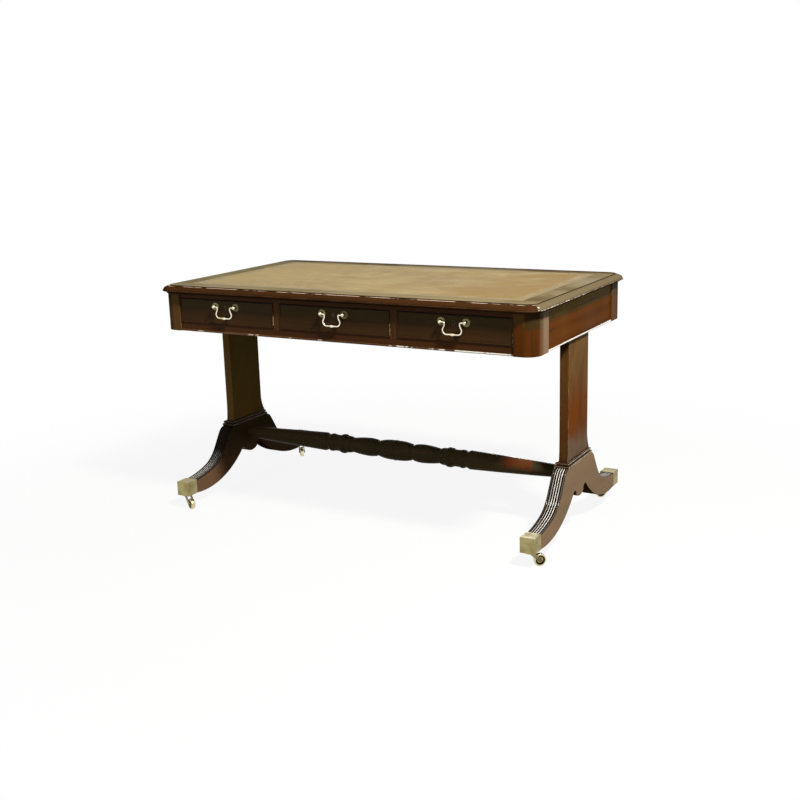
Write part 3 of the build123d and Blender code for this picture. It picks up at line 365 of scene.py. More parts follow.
@dataclass
class Effects:
    """The effects that several finishes share, each made once."""

    streaks: Cloud = Cloud((1.5, 24.0, 24.0), 4.0, 0.7)
    lines: Cloud = Cloud((6.0, 210.0, 210.0), 2.0, 0.3)
    blotches: Cloud = Cloud((3.0, 4.5, 4.5), 2.0, 0.4)
    pores: Cloud = Cloud((55.0, 1500.0, 1500.0), 1.0)
    pore: Ramp = Ramp(0.62, 0.72)
    streak_share: float = 0.5
    blotch_share: float = 0.35
    line_share: float = 0.15
    half_tone: float = 0.5
    to_middle: Ramp = Ramp(0.25, 0.5)
    to_light: Ramp = Ramp(0.5, 0.78)
    pore_share: float = 0.55
    line_height: float = 0.4
    pore_height: float = -0.6
    ray_samples: int = 6
    sharp: Ramp = Ramp(0.97, 0.80)
    break_clouds: Cloud = Cloud(28.0, 4.0)
    breaks: Ramp = Ramp(0.35, 0.62)
    hollow: Ramp = Ramp(0.93, 0.45)
    wax_clouds: Cloud = Cloud(40.0)
    wax: Ramp = Ramp(0.2, 0.7, 0.55, 1.0)
    tarnish_clouds: Cloud = Cloud(30.0, 3.0, 0.4)
    tarnish_spots: Cloud = Cloud(420.0, 2.0)
    cloud_share: float = 0.85
    spot_share: float = 0.15
    tarnish: Ramp = Ramp(0.34, 0.66)
    hairs: Cloud = Cloud((260.0, 2400.0, 1800.0), 2.0, 0.5)
    grain_group: Group = field(init=False)
    edge_group: Group = field(init=False)
    grime_and_shade_group: Group = field(init=False)
    patina_group: Group = field(init=False)

    def __post_init__(self) -> None:
        """Make every group."""
        self.grain_group = self.make_grain()
        self.edge_group = self.make_edges()
        self.grime_and_shade_group = self.make_grime_and_shade()
        self.patina_group = self.make_patina()

    def make_grain(self) -> Group:
        """Long streaks, fine lines and short dark pores of sawn wood.

        Returns:
            Group with a colour, a height and a tone from dark to light.
        """
        effect = Effect(
            "wood_grain",
            {"Vector": "Vector", "Dark": "Color", "Middle": "Color", "Light": "Color", "Figure": "Float"},
            {"Color": "Color", "Height": "Float", "Tone": "Float"},
        )
        graph, given = effect.graph, effect.given
        clouds = (self.streaks, self.lines, self.blotches, self.pores)
        streaks, lines, blotches, pores = (graph.noise(given["Vector"], cloud) for cloud in clouds)
        pore = graph.ramp(pores, self.pore)
        tone = graph.weighed(
            (streaks, self.streak_share), (blotches, self.blotch_share), (lines, self.line_share)
        )
        centred = graph.times(graph.maths("SUBTRACT", tone, self.half_tone), given["Figure"])
        tone = graph.maths("ADD", centred, self.half_tone, clamp=True)
        wood = graph.mix(graph.ramp(tone, self.to_middle), given["Dark"], given["Middle"])
        wood = graph.mix(graph.ramp(tone, self.to_light), wood, given["Light"])
        wood = graph.mix(graph.times(pore, self.pore_share), wood, given["Dark"])
        height = graph.weighed((lines, self.line_height), (pore, self.pore_height))
        return effect.give(Color=wood, Height=height, Tone=tone)

    def make_edges(self) -> Group:
        """Softened corners, and a mask of where hands and dusters have rubbed them.

        Returns:
            Group with a mask and a normal.
        """
        effect = Effect(
            "rubbed_edges", {"Vector": "Vector", "Radius": "Float", "Amount": "Float"},
            {"Mask": "Float", "Normal": "Vector"},
        )
        graph, given = effect.graph, effect.given
        bevel = graph.add("ShaderNodeBevel", samples=self.ray_samples)
        graph.feed(bevel.inputs["Radius"], given["Radius"])
        facing = graph.vectors("DOT_PRODUCT", bevel.outputs[0], graph.plain_normal())
        sharp = graph.ramp(facing["Value"], self.sharp)
        breaks = graph.patches(given["Vector"], self.break_clouds, self.breaks)
        mask = graph.times(sharp, breaks, given["Amount"], clamp=True)
        return effect.give(Mask=mask, Normal=bevel.outputs[0])

    def make_grime_and_shade(self) -> Group:
        """Dark wax and dust that gather in the hollows, with painted shade laid there too, where ambient
        occlusion finds them.

        Returns:
            Group with a mask.
        """
        effect = Effect("grime_and_shade", {"Vector": "Vector", "Reach": "Float", "Amount": "Float"}, {"Mask": "Float"})
        graph, given = effect.graph, effect.given
        hollow = graph.add("ShaderNodeAmbientOcclusion", samples=self.ray_samples, only_local=True)
        graph.feed(hollow.inputs["Distance"], given["Reach"])
        depth = graph.ramp(hollow.outputs["AO"], self.hollow)
        wax = graph.patches(given["Vector"], self.wax_clouds, self.wax)
        return effect.give(Mask=graph.times(depth, wax, given["Amount"], clamp=True))

    def make_patina(self) -> Group:
        """Cloudy tarnish and hair scratches of old metal.

        Returns:
            Group with a tarnish mask and a scratch height.
        """
        effect = Effect("patina", {"Vector": "Vector"}, {"Tarnish": "Float", "Scratches": "Float"})
        graph, place = effect.graph, effect.given["Vector"]
        clouds = graph.noise(place, self.tarnish_clouds)
        spots = graph.noise(place, self.tarnish_spots)
        tone = graph.weighed((clouds, self.cloud_share), (spots, self.spot_share))
        return effect.give(Tarnish=graph.ramp(tone, self.tarnish), Scratches=graph.noise(place, self.hairs))


EFFECTS = Effects()


@dataclass
class Surface(Graph):
    """A finish's material in the making, with the places on its piece and what is laid there so far."""

    tree: Group = field(init=False)
    name: str
    material: Material = field(init=False)
    shader: bpy.types.Node = field(init=False)
    coordinates: Outputs = field(init=False)
    place: Socket = field(init=False)
    colour: Socket = field(init=False)
    rough: Socket = field(init=False)
    normal: Socket = field(init=False)
    edges: Socket = field(init=False)

    def __post_init__(self) -> None:
        """Start the material and find the places on its piece, in metres in the piece's own frame."""
        self.material = bpy.data.materials.new(self.name)
        self.material.use_nodes = True
        self.tree = self.material.node_tree
        self.shader = self.tree.nodes["Principled BSDF"]
        self.coordinates = self.add("ShaderNodeTexCoord").outputs
        self.place = self.coordinates["Object"]

    @cached_property
    def at(self) -> Outputs:
        """The place, split into X, Y and Z."""
        return self.parts(self.place)

    @cached_property
    def facing(self) -> Outputs:
        """The direction of the surface, split into X, Y and Z."""
        return self.parts(self.coordinates["Normal"])

    def outward(self, axis: str) -> Socket:
        """How far a face looks away from the middle of the desk, along X or Y."""
        return self.times(self.maths("SIGN", self.at[axis]), self.facing[axis])

    def on_left(self) -> Socket:
        """Mask of the left half of the desk."""
        return self.maths("LESS_THAN", self.at["X"], 0.0)

    def on_right(self) -> Socket:
        """Mask of the right half of the desk."""
        return self.maths("GREATER_THAN", self.at["X"], 0.0)

    def insets(self, half_length: float, half_depth: float) -> list[Socket]:
        """Distances in from the nearer end and from the nearer long side.

        Args:
            half_length: Half of the piece's length.
            half_depth: Half of its depth.

        Returns:
            The two distances.
        """
        along, across = (self.maths("ABSOLUTE", self.at[axis]) for axis in "XY")
        return [self.maths("SUBTRACT", half_length, along), self.maths("SUBTRACT", half_depth, across)]

    def tint(self, mask: Socket, colour: Union[Socket, Colour]) -> None:
        """Lay a colour over what is there, through a mask."""
        self.colour = self.mix(mask, self.colour, colour)

    def coat(self, weight: Socket, rough: float) -> None:
        """Lay polish over the finish.

        Args:
            weight: How much polish there is.
            rough: How dull the polish is.
        """
        self.feed(self.shader.inputs["Coat Weight"], weight)
        self.shader.inputs["Coat Roughness"].default_value = rough

    def close(self) -> Material:
        """Join what is laid to the shader.

        Returns:
            The finished material.
        """
        self.feed(self.shader.inputs["Base Color"], self.colour)
        self.feed(self.shader.inputs["Roughness"], self.rough)
        self.feed(self.shader.inputs["Normal"], self.normal)
        return self.material


@dataclass(frozen=True)
class Wood:
    """A wood finish: its colours, the way of its grain, its polish, its wear and the shade painted on its
    upper strip.
    """

    name: str
    dark: Colour
    middle: Colour
    light: Colour
    worn: Colour
    along: Along = Along.LENGTH
    figure: float = 1.0
    rough: Pair = (0.26, 0.42)
    rough_tones: Pair = (0.3, 0.7)
    rough_clouds: Cloud = Cloud(9.0, 4.0)
    gloss: float = 0.06
    edge_radius: float = 0.0016
    wear: float = 0.5
    grime_and_shade: float = 0.6
    grime_and_shade_reach: float = 0.008
    pore_depth: float = 0.00006
    outer_sheen: Optional[Colour] = None
    outer_sheen_turn: Ramp = Ramp(0.40, 0.55)
    outer_sheen_tones: Ramp = Ramp(0.30, 0.62, 0.8, 1.0)
    # Painted shade: a strip under the top in the shaded colour, and below it a darker painted shadow tail.
    shaded: Optional[Colour] = None
    shade: Ramp = Ramp(0.0, 1.0)
    shade_waver: float = 0.03
    shadow_tail: Optional[Colour] = None
    shadow_tail_drop: float = 0.012
    shadow_tail_share: float = 0.9

    def grain(self, work: Surface, along: Along) -> Outputs:
        """Lay down grain.

        Args:
            work: Surface in the making.
            along: The way that the grain runs.

        Returns:
            Colour, height and tone of the grain.
        """
        return work.effect(
            EFFECTS.grain_group, Vector=work.turned(work.place, along), Dark=self.dark, Middle=self.middle,
            Light=self.light, Figure=self.figure,
        )

    def outer_faces(self, work: Surface, tone: Socket) -> Socket:
        """Where a painted sheen lies on the faces that look out at the ends of the desk.

        Args:
            work: Surface in the making.
            tone: Tone of the wood there.

        Returns:
            Mask of the painted sheen.
        """
        outward = work.times(work.at["X"], work.facing["X"])
        return work.times(work.ramp(outward, self.outer_sheen_turn), work.ramp(tone, self.outer_sheen_tones))

    def shade_strip(self, work: Surface, tone: Socket) -> None:
        """Paint shade on the strip under the top, wavering with the grain, with a darker painted shadow tail
        below it where the finish has one.

        Args:
            work: Surface in the making.
            tone: Tone of the grain.
        """
        waver = work.times(work.maths("SUBTRACT", tone, EFFECTS.half_tone), self.shade_waver)
        height = work.maths("ADD", work.at["Z"], waver)
        if self.shadow_tail:
            lower = replace(self.shade.moved(-self.shadow_tail_drop), end=self.shadow_tail_share)
            work.tint(work.ramp(height, lower), self.shadow_tail)
        work.tint(work.ramp(height, self.shade), self.shaded)

    def lay(self) -> Surface:
        """Lay down grain, rubbed edges, and dirt with painted shade in the hollows.

        Returns:
            The surface in the making.
        """
        work = Surface(self.name)
        grain = self.grain(work, self.along)
        edges = work.effect(EFFECTS.edge_group, Vector=work.place, Radius=self.edge_radius, Amount=self.wear)
        grime_and_shade = work.effect(EFFECTS.grime_and_shade_group, Vector=work.place, Reach=self.grime_and_shade_reach, Amount=self.grime_and_shade)
        work.colour, work.edges = grain["Color"], edges["Mask"]
        # Painted sheen on the outer faces.
        if self.outer_sheen:
            work.tint(self.outer_faces(work, grain["Tone"]), self.outer_sheen)
        if self.shaded:
            self.shade_strip(work, grain["Tone"])
        work.tint(work.edges, self.worn)
        # Dirt and painted shade in the hollows, found by ambient occlusion.
        work.tint(grime_and_shade["Mask"], self.dark)
        work.rough = work.patches(work.place, self.rough_clouds, Ramp(*self.rough_tones, *self.rough))
        work.normal = work.bump(grain["Height"], self.pore_depth, edges["Normal"])
        work.shader.inputs["Specular IOR Level"].default_value = self.gloss
        return work

    def paint(self, work: Surface) -> None:
        """Change the surface where a finish is more than plain wood."""

    def material(self) -> Material:
        """Make the material of this finish.

        Returns:
            The material.
        """
        work = self.lay()
        self.paint(work)
        return work.close()


@dataclass(frozen=True)
class CornerWood(Wood):
    """Wood of a corner post, with a pale painted sheen on the face that looks out at the end of the desk."""

    # Painted sheen: a pale band on the outer face, stronger on the front posts.
    sheen_turn: Ramp = Ramp(0.955, 0.985)
    sheen_streaks: Cloud = Cloud((160.0, 160.0, 6.0))
    rub_and_sheen_tones: Ramp = Ramp(0.25, 0.65, 0.82, 1.0)
    sheen_depth: Ramp = Ramp(-0.1, 0.1, 0.82, 0.14)
    highlight_reach: Ramp = Ramp(0.0, 1.0)
    # Painted shade on the round of the corner, below the top.
    corner_shade: Colour = (0.056, 0.034, 0.012)
    corner_turn: Ramp = Ramp(0.12, 0.30)
    corner_levels: Ramp = Ramp(0.0, 1.0)
    left_dull: Colour = (0.180, 0.112, 0.038)
    left_share: float = 0.65

    def paint(self, work: Surface) -> None:
        """Dull the left posts, paint shade on the round of the corner and paint a pale sheen on the outer
        face.

        Args:
            work: Surface in the making.
        """
        outward, depth = work.outward("X"), work.at["Y"]
        # Painted sheen, laid in the worn colour of this finish.
        rub = work.times(
            work.ramp(outward, self.sheen_turn), work.patches(work.place, self.sheen_streaks, self.rub_and_sheen_tones),
            work.ramp(depth, self.sheen_depth), work.ramp(work.maths("ABSOLUTE", depth), self.highlight_reach),
        )
        # Painted shade on the round of the corner.
        corner = work.times(work.ramp(outward, self.corner_turn), work.ramp(work.at["Z"], self.corner_levels))
        work.tint(work.times(work.on_left(), self.left_share), self.left_dull)
        work.tint(corner, self.corner_shade)
        work.tint(rub, self.worn)


@dataclass(frozen=True)
class BeadWood(Wood):
    """Wood of the bead below the frieze, with a white highlight painted along the ends and in places along
    the front.
    """

    end_from: float = 0.0
    run_clouds: Cloud = Cloud((24.0, 24.0, 1.0))
    runs: Ramp = Ramp(0.57, 0.63)
    more_right: Ramp = Ramp(0.0, 1.0)
    more_left: Ramp = Ramp(-0.44, -0.50, 0.0, 0.13)
    highlight_levels: Ramp = Ramp(0.0, 1.0)
    front_highlight: Colour = (0.60, 0.46, 0.37)
    white_run: Ramp = Ramp(0.10, 0.30)

    def paint(self, work: Surface) -> None:
        """Paint a highlight on the lower half of the bead.

        Args:
            work: Surface in the making.
        """
        # Painted highlight: the worn colour of this finish is near white, and lies all along the ends and in
        # runs along the front.
        along = work.at["X"]
        at_end = work.maths("GREATER_THAN", work.maths("ABSOLUTE", along), self.end_from)
        more = work.maths("ADD", work.ramp(along, self.more_right), work.ramp(along, self.more_left))
        bare = work.ramp(work.maths("ADD", work.noise(work.place, self.run_clouds), more), self.runs)
        rubbed = work.times(work.maths("MAXIMUM", at_end, bare), work.ramp(work.at["Z"], self.highlight_levels))
        whitened = work.maths("MAXIMUM", at_end, work.ramp(along, self.white_run))
        work.tint(rubbed, work.mix(whitened, self.front_highlight, self.worn))


@dataclass(frozen=True)
class StrungWood(Wood):
    """Wood of a drawer's cock beads, with glints of highlight painted on the upright bead at the right."""

    glint: Colour = (0.34, 0.225, 0.120)
    glint_from: float = 0.0
    glint_levels: Ramp = Ramp(0.0, 1.0)
    glint_clouds: Cloud = Cloud(140.0)
    glints: Ramp = Ramp(0.42, 0.55)

    def paint(self, work: Surface) -> None:
        """Paint glints of highlight on the bead.

        Args:
            work: Surface in the making.
        """
        upright = work.maths("GREATER_THAN", work.at["X"], self.glint_from)
        glints = work.patches(work.place, self.glint_clouds, self.glints)
        glints = work.times(upright, work.ramp(work.at["Z"], self.glint_levels), glints)
        work.tint(glints, self.glint)


@dataclass(frozen=True)
class BorderWood(Wood):
    """Wood of the top: banded and mitred round the leather; its flat border pale, partly its own colour and
    partly a painted reflection; its moulding dark, with painted light on the ends, painted highlights and a
    painted shadow in the quirk.
    """

    half_length: float = 0.0
    half_depth: float = 0.0
    top: float = 0.0
    corner_radius: float = 0.054
    mitre: Ramp = Ramp(-0.0002, 0.0002)
    mitre_joint: Ramp = Ramp(0.0011, 0.0003, 0.0, 0.6)
    # The pale flat border is partly its own colour and partly a painted reflection.
    flat: Colour = (0.305, 0.245, 0.135)
    flat_dark: Colour = (0.170, 0.122, 0.062)
    flat_clouds: Cloud = Cloud((3.5, 3.5, 1.0), 3.0, 0.6)
    flat_tones: Ramp = Ramp(0.40, 0.58)
    flat_share: float = 0.78
    level_turn: Ramp = Ramp(0.80, 0.97)
    front_pale: Colour = (0.350, 0.290, 0.165)
    front_run: Ramp = Ramp(0.10, 0.06, 0.0, 0.38)
    left_green: Colour = (0.250, 0.232, 0.112)
    left_run: Ramp = Ramp(0.10, 0.06, 0.0, 0.45)
    rear_dark: Colour = (0.045, 0.026, 0.010)
    rear_run: Ramp = Ramp(0.075, 0.035, 0.0, 0.8)
    end_slant: float = 1.2
    end_turn: Ramp = Ramp(0.0, 0.010)
    # Painted light on the upper part of the end mouldings.
    end_mould: Colour = (0.215, 0.170, 0.096)
    mould_levels: Ramp = Ramp(-0.001, 0.003, 0.0, 0.8)
    # Painted shadow in the quirk.
    quirk_inset: float = 0.024
    quirk_lead: float = 0.0012
    quirk_reach: Ramp = Ramp(0.0026, 0.00156)
    quirk_fade: Ramp = Ramp(0.0, 1.0, 1.0, 0.7)
    # Painted highlights: a broken pale line below the quirk along the sides, white dots on the nose of the
    # ends and a spot on the front right corner.
    highlight_reach: Ramp = Ramp(-0.0075, -0.0050)
    rub_and_sheen_clouds: Cloud = Cloud((26.0, 26.0, 1.0), 4.0)
    highlight_runs: Ramp = Ramp(0.40, 0.52)
    bare: Colour = (0.92, 0.88, 0.82)
    nose_drop: float = 0.0155
    nose_reach: Ramp = Ramp(0.0013, 0.00065)
    nose_clouds: Cloud = Cloud(150.0, 2.0)
    nose_dots: Ramp = Ramp(0.48, 0.60)
    nose_run: Ramp = Ramp(-0.20, 0.20, 0.85, 0.25)
    spot_turn: float = math.radians(58.0)
    spot_inset: float = 0.006
    spot_drop: float = 0.0075
    spot_reach: Ramp = Ramp(0.0034, 0.00204)
    polish_clouds: Cloud = Cloud((4.0, 5.0, 5.0), 3.0, 0.5)
    polish: Ramp = Ramp(0.38, 0.62, 0.0, 0.05)
    polish_rough: float = 0.2
    sheen_at: float = 0.14
    sheen: Ramp = Ramp(0.13, 0.03, 0.0, 0.24)

    def past_corners(self, work: Surface) -> list[Socket]:
        """How far a place lies past the centre of its corner, along the desk and across it.

        Args:
            work: Surface in the making.

        Returns:
            The two distances.
        """
        insets = work.insets(self.half_length, self.half_depth)
        return [work.maths("SUBTRACT", self.corner_radius, inset) for inset in insets]

    def edge_distance(self, work: Surface) -> Socket:
        """Distance in from the edge of the top, followed round its corners.

        Args:
            work: Surface in the making.

        Returns:
            The distance.
        """
        past = self.past_corners(work)
        squares = [work.maths("POWER", work.maths("MAXIMUM", value, 0.0), 2.0) for value in past]
        outside = work.maths("SQRT", work.maths("ADD", *squares))
        inside = work.maths("MINIMUM", work.maths("MAXIMUM", *past), 0.0)
        return work.maths("SUBTRACT", self.corner_radius, work.maths("ADD", outside, inside))

    def end_faces(self, work: Surface) -> Socket:
        """Where the edge of the top has turned its corner to face along the desk.

        Args:
            work: Surface in the making.

        Returns:
            Mask of the end mouldings.
        """
        along, across = self.past_corners(work)
        across = work.times(work.maths("MAXIMUM", across, 0.0), self.end_slant)
        return work.ramp(work.maths("SUBTRACT", along, across), self.end_turn)

    def banding(self, work: Surface) -> Socket:
        """Turn the grain at the ends of the top and draw the mitres.

        Args:
            work: Surface in the making.

        Returns:
            The colour of the banded top.
        """
        from_end, from_side = work.insets(self.half_length, self.half_depth)
        past_mitre = work.maths("SUBTRACT", from_side, from_end)
        across = self.grain(work, Along.DEPTH)["Color"]
        banded = work.mix(work.ramp(past_mitre, self.mitre), work.colour, across)
        joint = work.ramp(work.maths("ABSOLUTE", past_mitre), self.mitre_joint)
        return work.mix(joint, banded, self.dark)

    def border(self, work: Surface) -> Socket:
        """Colour the flat border pale, partly as a painted reflection: paler in front, greenish at the left
        and dark behind.

        Args:
            work: Surface in the making.

        Returns:
            The colour of the border.
        """
        tones = work.patches(work.place, self.flat_clouds, self.flat_tones)
        colour = work.mix(self.flat_share, self.banding(work), work.mix(tones, self.flat_dark, self.flat))
        across = work.at["Y"]
        runs = (
            (work.maths("ADD", across, self.half_depth), self.front_run, self.front_pale),
            (work.maths("ADD", work.at["X"], self.half_length), self.left_run, self.left_green),
            (work.maths("SUBTRACT", self.half_depth, across), self.rear_run, self.rear_dark),
        )
        for distance, run, shade in runs:
            colour = work.mix(work.ramp(distance, run), colour, shade)
        return colour

    def highlight_spot(self, work: Surface) -> Socket:
        """Where a highlight is painted on the front right corner.

        Args:
            work: Surface in the making.

        Returns:
            Mask of the painted highlight.
        """
        reach = self.corner_radius - self.spot_inset
        centre = (
            self.half_length - self.corner_radius + reach * math.sin(self.spot_turn),
            self.corner_radius - self.half_depth - reach * math.cos(self.spot_turn),
            self.top - self.spot_drop,
        )
        return work.ramp(work.vectors("DISTANCE", work.place, centre)["Value"], self.spot_reach)

    def paint_moulding_light_and_shade(self, work: Surface, inset: Socket, at_end: Socket) -> None:
        """Paint highlights on the moulding, in runs along the sides and in dots along the ends, and paint
        shadow in its quirk.

        Args:
            work: Surface in the making.
            inset: Distance in from the edge of the top.
            at_end: Mask of the end mouldings.
        """
        # Painted highlight below the quirk along the sides, laid in the worn colour of this finish.
        rubbed = work.times(
            work.ramp(inset, self.highlight_reach.moved(self.quirk_inset)),
            work.patches(work.place, self.rub_and_sheen_clouds, self.highlight_runs),
            work.maths("LESS_THAN", inset, self.quirk_inset), work.without(at_end),
        )
        nose = work.times(
            work.ramp(work.off(work.at["Z"], self.top - self.nose_drop), self.nose_reach), at_end,
            work.patches(work.place, self.nose_clouds, self.nose_dots),
            work.ramp(work.at["Y"], self.nose_run),
        )
        # Painted shadow in the quirk.
        from_quirk = work.maths("SUBTRACT", inset, self.quirk_inset - self.quirk_lead)
        quirk = work.times(
            work.maths("GREATER_THAN", from_quirk, 0.0), work.ramp(from_quirk, self.quirk_reach),
            work.ramp(at_end, self.quirk_fade),
        )
        work.tint(rubbed, self.worn)
        work.tint(nose, self.bare)
        work.tint(quirk, self.dark)

    def polish_flat(self, work: Surface, flat: Socket) -> None:
        """Polish the flat border unevenly, most of all behind on the right.

        Args:
            work: Surface in the making.
            flat: Mask of the border.
        """
        clouds = work.noise(work.place, self.polish_clouds)
        behind = work.ramp(work.off(work.at["Y"], self.sheen_at), self.sheen)
        sheen = work.times(behind, clouds, work.on_right())
        polish = work.maths("ADD", work.ramp(clouds, self.polish), sheen)
        work.coat(work.times(polish, flat), self.polish_rough)

    def paint(self, work: Surface) -> None:
        """Colour the border, paint light, highlights and shadow on the moulding and polish the flat.

        Args:
            work: Surface in the making.
        """
        inset, at_end = self.edge_distance(work), self.end_faces(work)
        inside = work.maths("GREATER_THAN", inset, self.quirk_inset)
        flat = work.times(work.ramp(work.facing["Z"], self.level_turn), inside)
        upper = work.ramp(work.at["Z"], self.mould_levels.moved(self.top - self.nose_drop))
        border = self.border(work)
        # Painted light on the upper part of the end mouldings.
        work.tint(work.times(at_end, upper), self.end_mould)
        work.tint(flat, border)
        self.paint_moulding_light_and_shade(work, inset, at_end)
        # Painted highlight on the front right corner.
        work.tint(self.highlight_spot(work), self.bare)
        self.polish_flat(work, flat)


@dataclass(frozen=True)
class UprightWood(Wood):
    """Wood of an upright, whose outer face carries a painted reflection, pale low down, red half way up and
    dull at the top, and whose inner and front faces carry painted shade.
    """

    clouds: Cloud = Cloud((9.0, 9.0, 5.0), 4.0, 0.5)
    waver: float = 0.16
    low_colour: Colour = (0.209, 0.136, 0.085)
    middle_colour: Colour = (0.200, 0.052, 0.003)
    high_colour: Colour = (0.210, 0.108, 0.033)
    low_end: Ramp = Ramp(0.0, 1.0)
    high_start: Ramp = Ramp(0.0, 1.0)
    streaks: Cloud = Cloud((16.0, 16.0, 5.0), 5.0, 0.6)
    streak_tones: Ramp = Ramp(0.60, 0.36, 0.0, 0.30)
    inner_low: Colour = (0.285, 0.175, 0.040)
    inner_high: Colour = (0.170, 0.128, 0.026)
    inner_turn: Ramp = Ramp(-0.6, -0.9)
    inner_tones: Ramp = Ramp(0.35, 0.6, 0.55, 0.9)
    inner_levels: Ramp = Ramp(0.0, 1.0)
    front_turn: Ramp = Ramp(-0.5, -0.9)
    front_levels: Ramp = Ramp(0.0, 1.0)
    left_front: Colour = (0.300, 0.166, 0.048)
    left_share: float = 0.75

    def outer(self, work: Surface, height: Socket) -> Socket:
        """Colour of the outer face, a painted reflection.

        Args:
            work: Surface in the making.
            height: Level, wavering with the clouds.

        Returns:
            The colour.
        """
        colour = work.mix(work.ramp(height, self.low_end), self.low_colour, self.middle_colour)
        colour = work.mix(work.ramp(height, self.high_start), colour, self.high_colour)
        colour = work.mix(work.patches(work.place, self.streaks, self.streak_tones), colour, self.dark)
        return work.mix(work.edges, colour, self.worn)

    def paint(self, work: Surface) -> None:
        """Colour the outer, the inner and the front faces: a painted reflection on the outer face, painted
        shade toward the top of the inner faces and on the front faces under the frieze.

        Args:
            work: Surface in the making.
        """
        clouds = work.noise(work.place, self.clouds)
        shift = work.times(work.maths("SUBTRACT", clouds, EFFECTS.half_tone), self.waver)
        height = work.maths("ADD", work.at["Z"], shift)
        inner = work.times(work.ramp(work.outward("X"), self.inner_turn), work.ramp(clouds, self.inner_tones))
        inner_colour = work.mix(work.ramp(height, self.inner_levels), self.inner_low, self.inner_high)
        front = work.ramp(work.facing["Y"], self.front_turn)
        below_frieze = work.ramp(work.at["Z"], self.front_levels)
        # Painted shade: the inner faces darker toward the top.
        work.tint(inner, inner_colour)
        work.tint(work.times(front, work.on_left(), self.left_share), self.left_front)
        # Painted shadow on the front faces under the frieze.
        work.tint(work.times(front, below_frieze), self.dark)
        # Painted reflection on the outer faces.
        work.tint(self.outer_faces(work, clouds), self.outer(work, height))


@dataclass(frozen=True)
class CollarWood(Wood):
    """Wood of a collar, with a highlight painted on the crests and shade painted in the hollows."""

    crest: Ramp = Ramp(0.55, 0.25)
    hollow: Ramp = Ramp(0.45, 0.75)
    rub_and_sheen_clouds: Cloud = Cloud(60.0, 4.0)
    rub_and_sheen_tones: Ramp = Ramp(0.34, 0.60, 0.25, 1.0)
    side_turn: Ramp = Ramp(0.3, 0.6, 0.15, 1.0)
    right_share: Ramp = Ramp(0.0, 1.0, 0.3, 1.0)

    def paint(self, work: Surface) -> None:
        """Paint a highlight on the crest and shade in the hollows.

        Args:
            work: Surface in the making.
        """
        tilt, sideways = (work.maths("ABSOLUTE", work.facing[axis]) for axis in "ZX")
        # Painted highlight on the crests, stronger on the right collar, laid in the worn colour of this
        # finish.
        rubbed = work.times(
            work.ramp(tilt, self.crest), work.patches(work.place, self.rub_and_sheen_clouds, self.rub_and_sheen_tones),
            work.ramp(sideways, self.side_turn), work.ramp(work.on_right(), self.right_share),
        )
        work.tint(rubbed, self.worn)
        work.tint(work.ramp(tilt, self.hollow), self.dark)


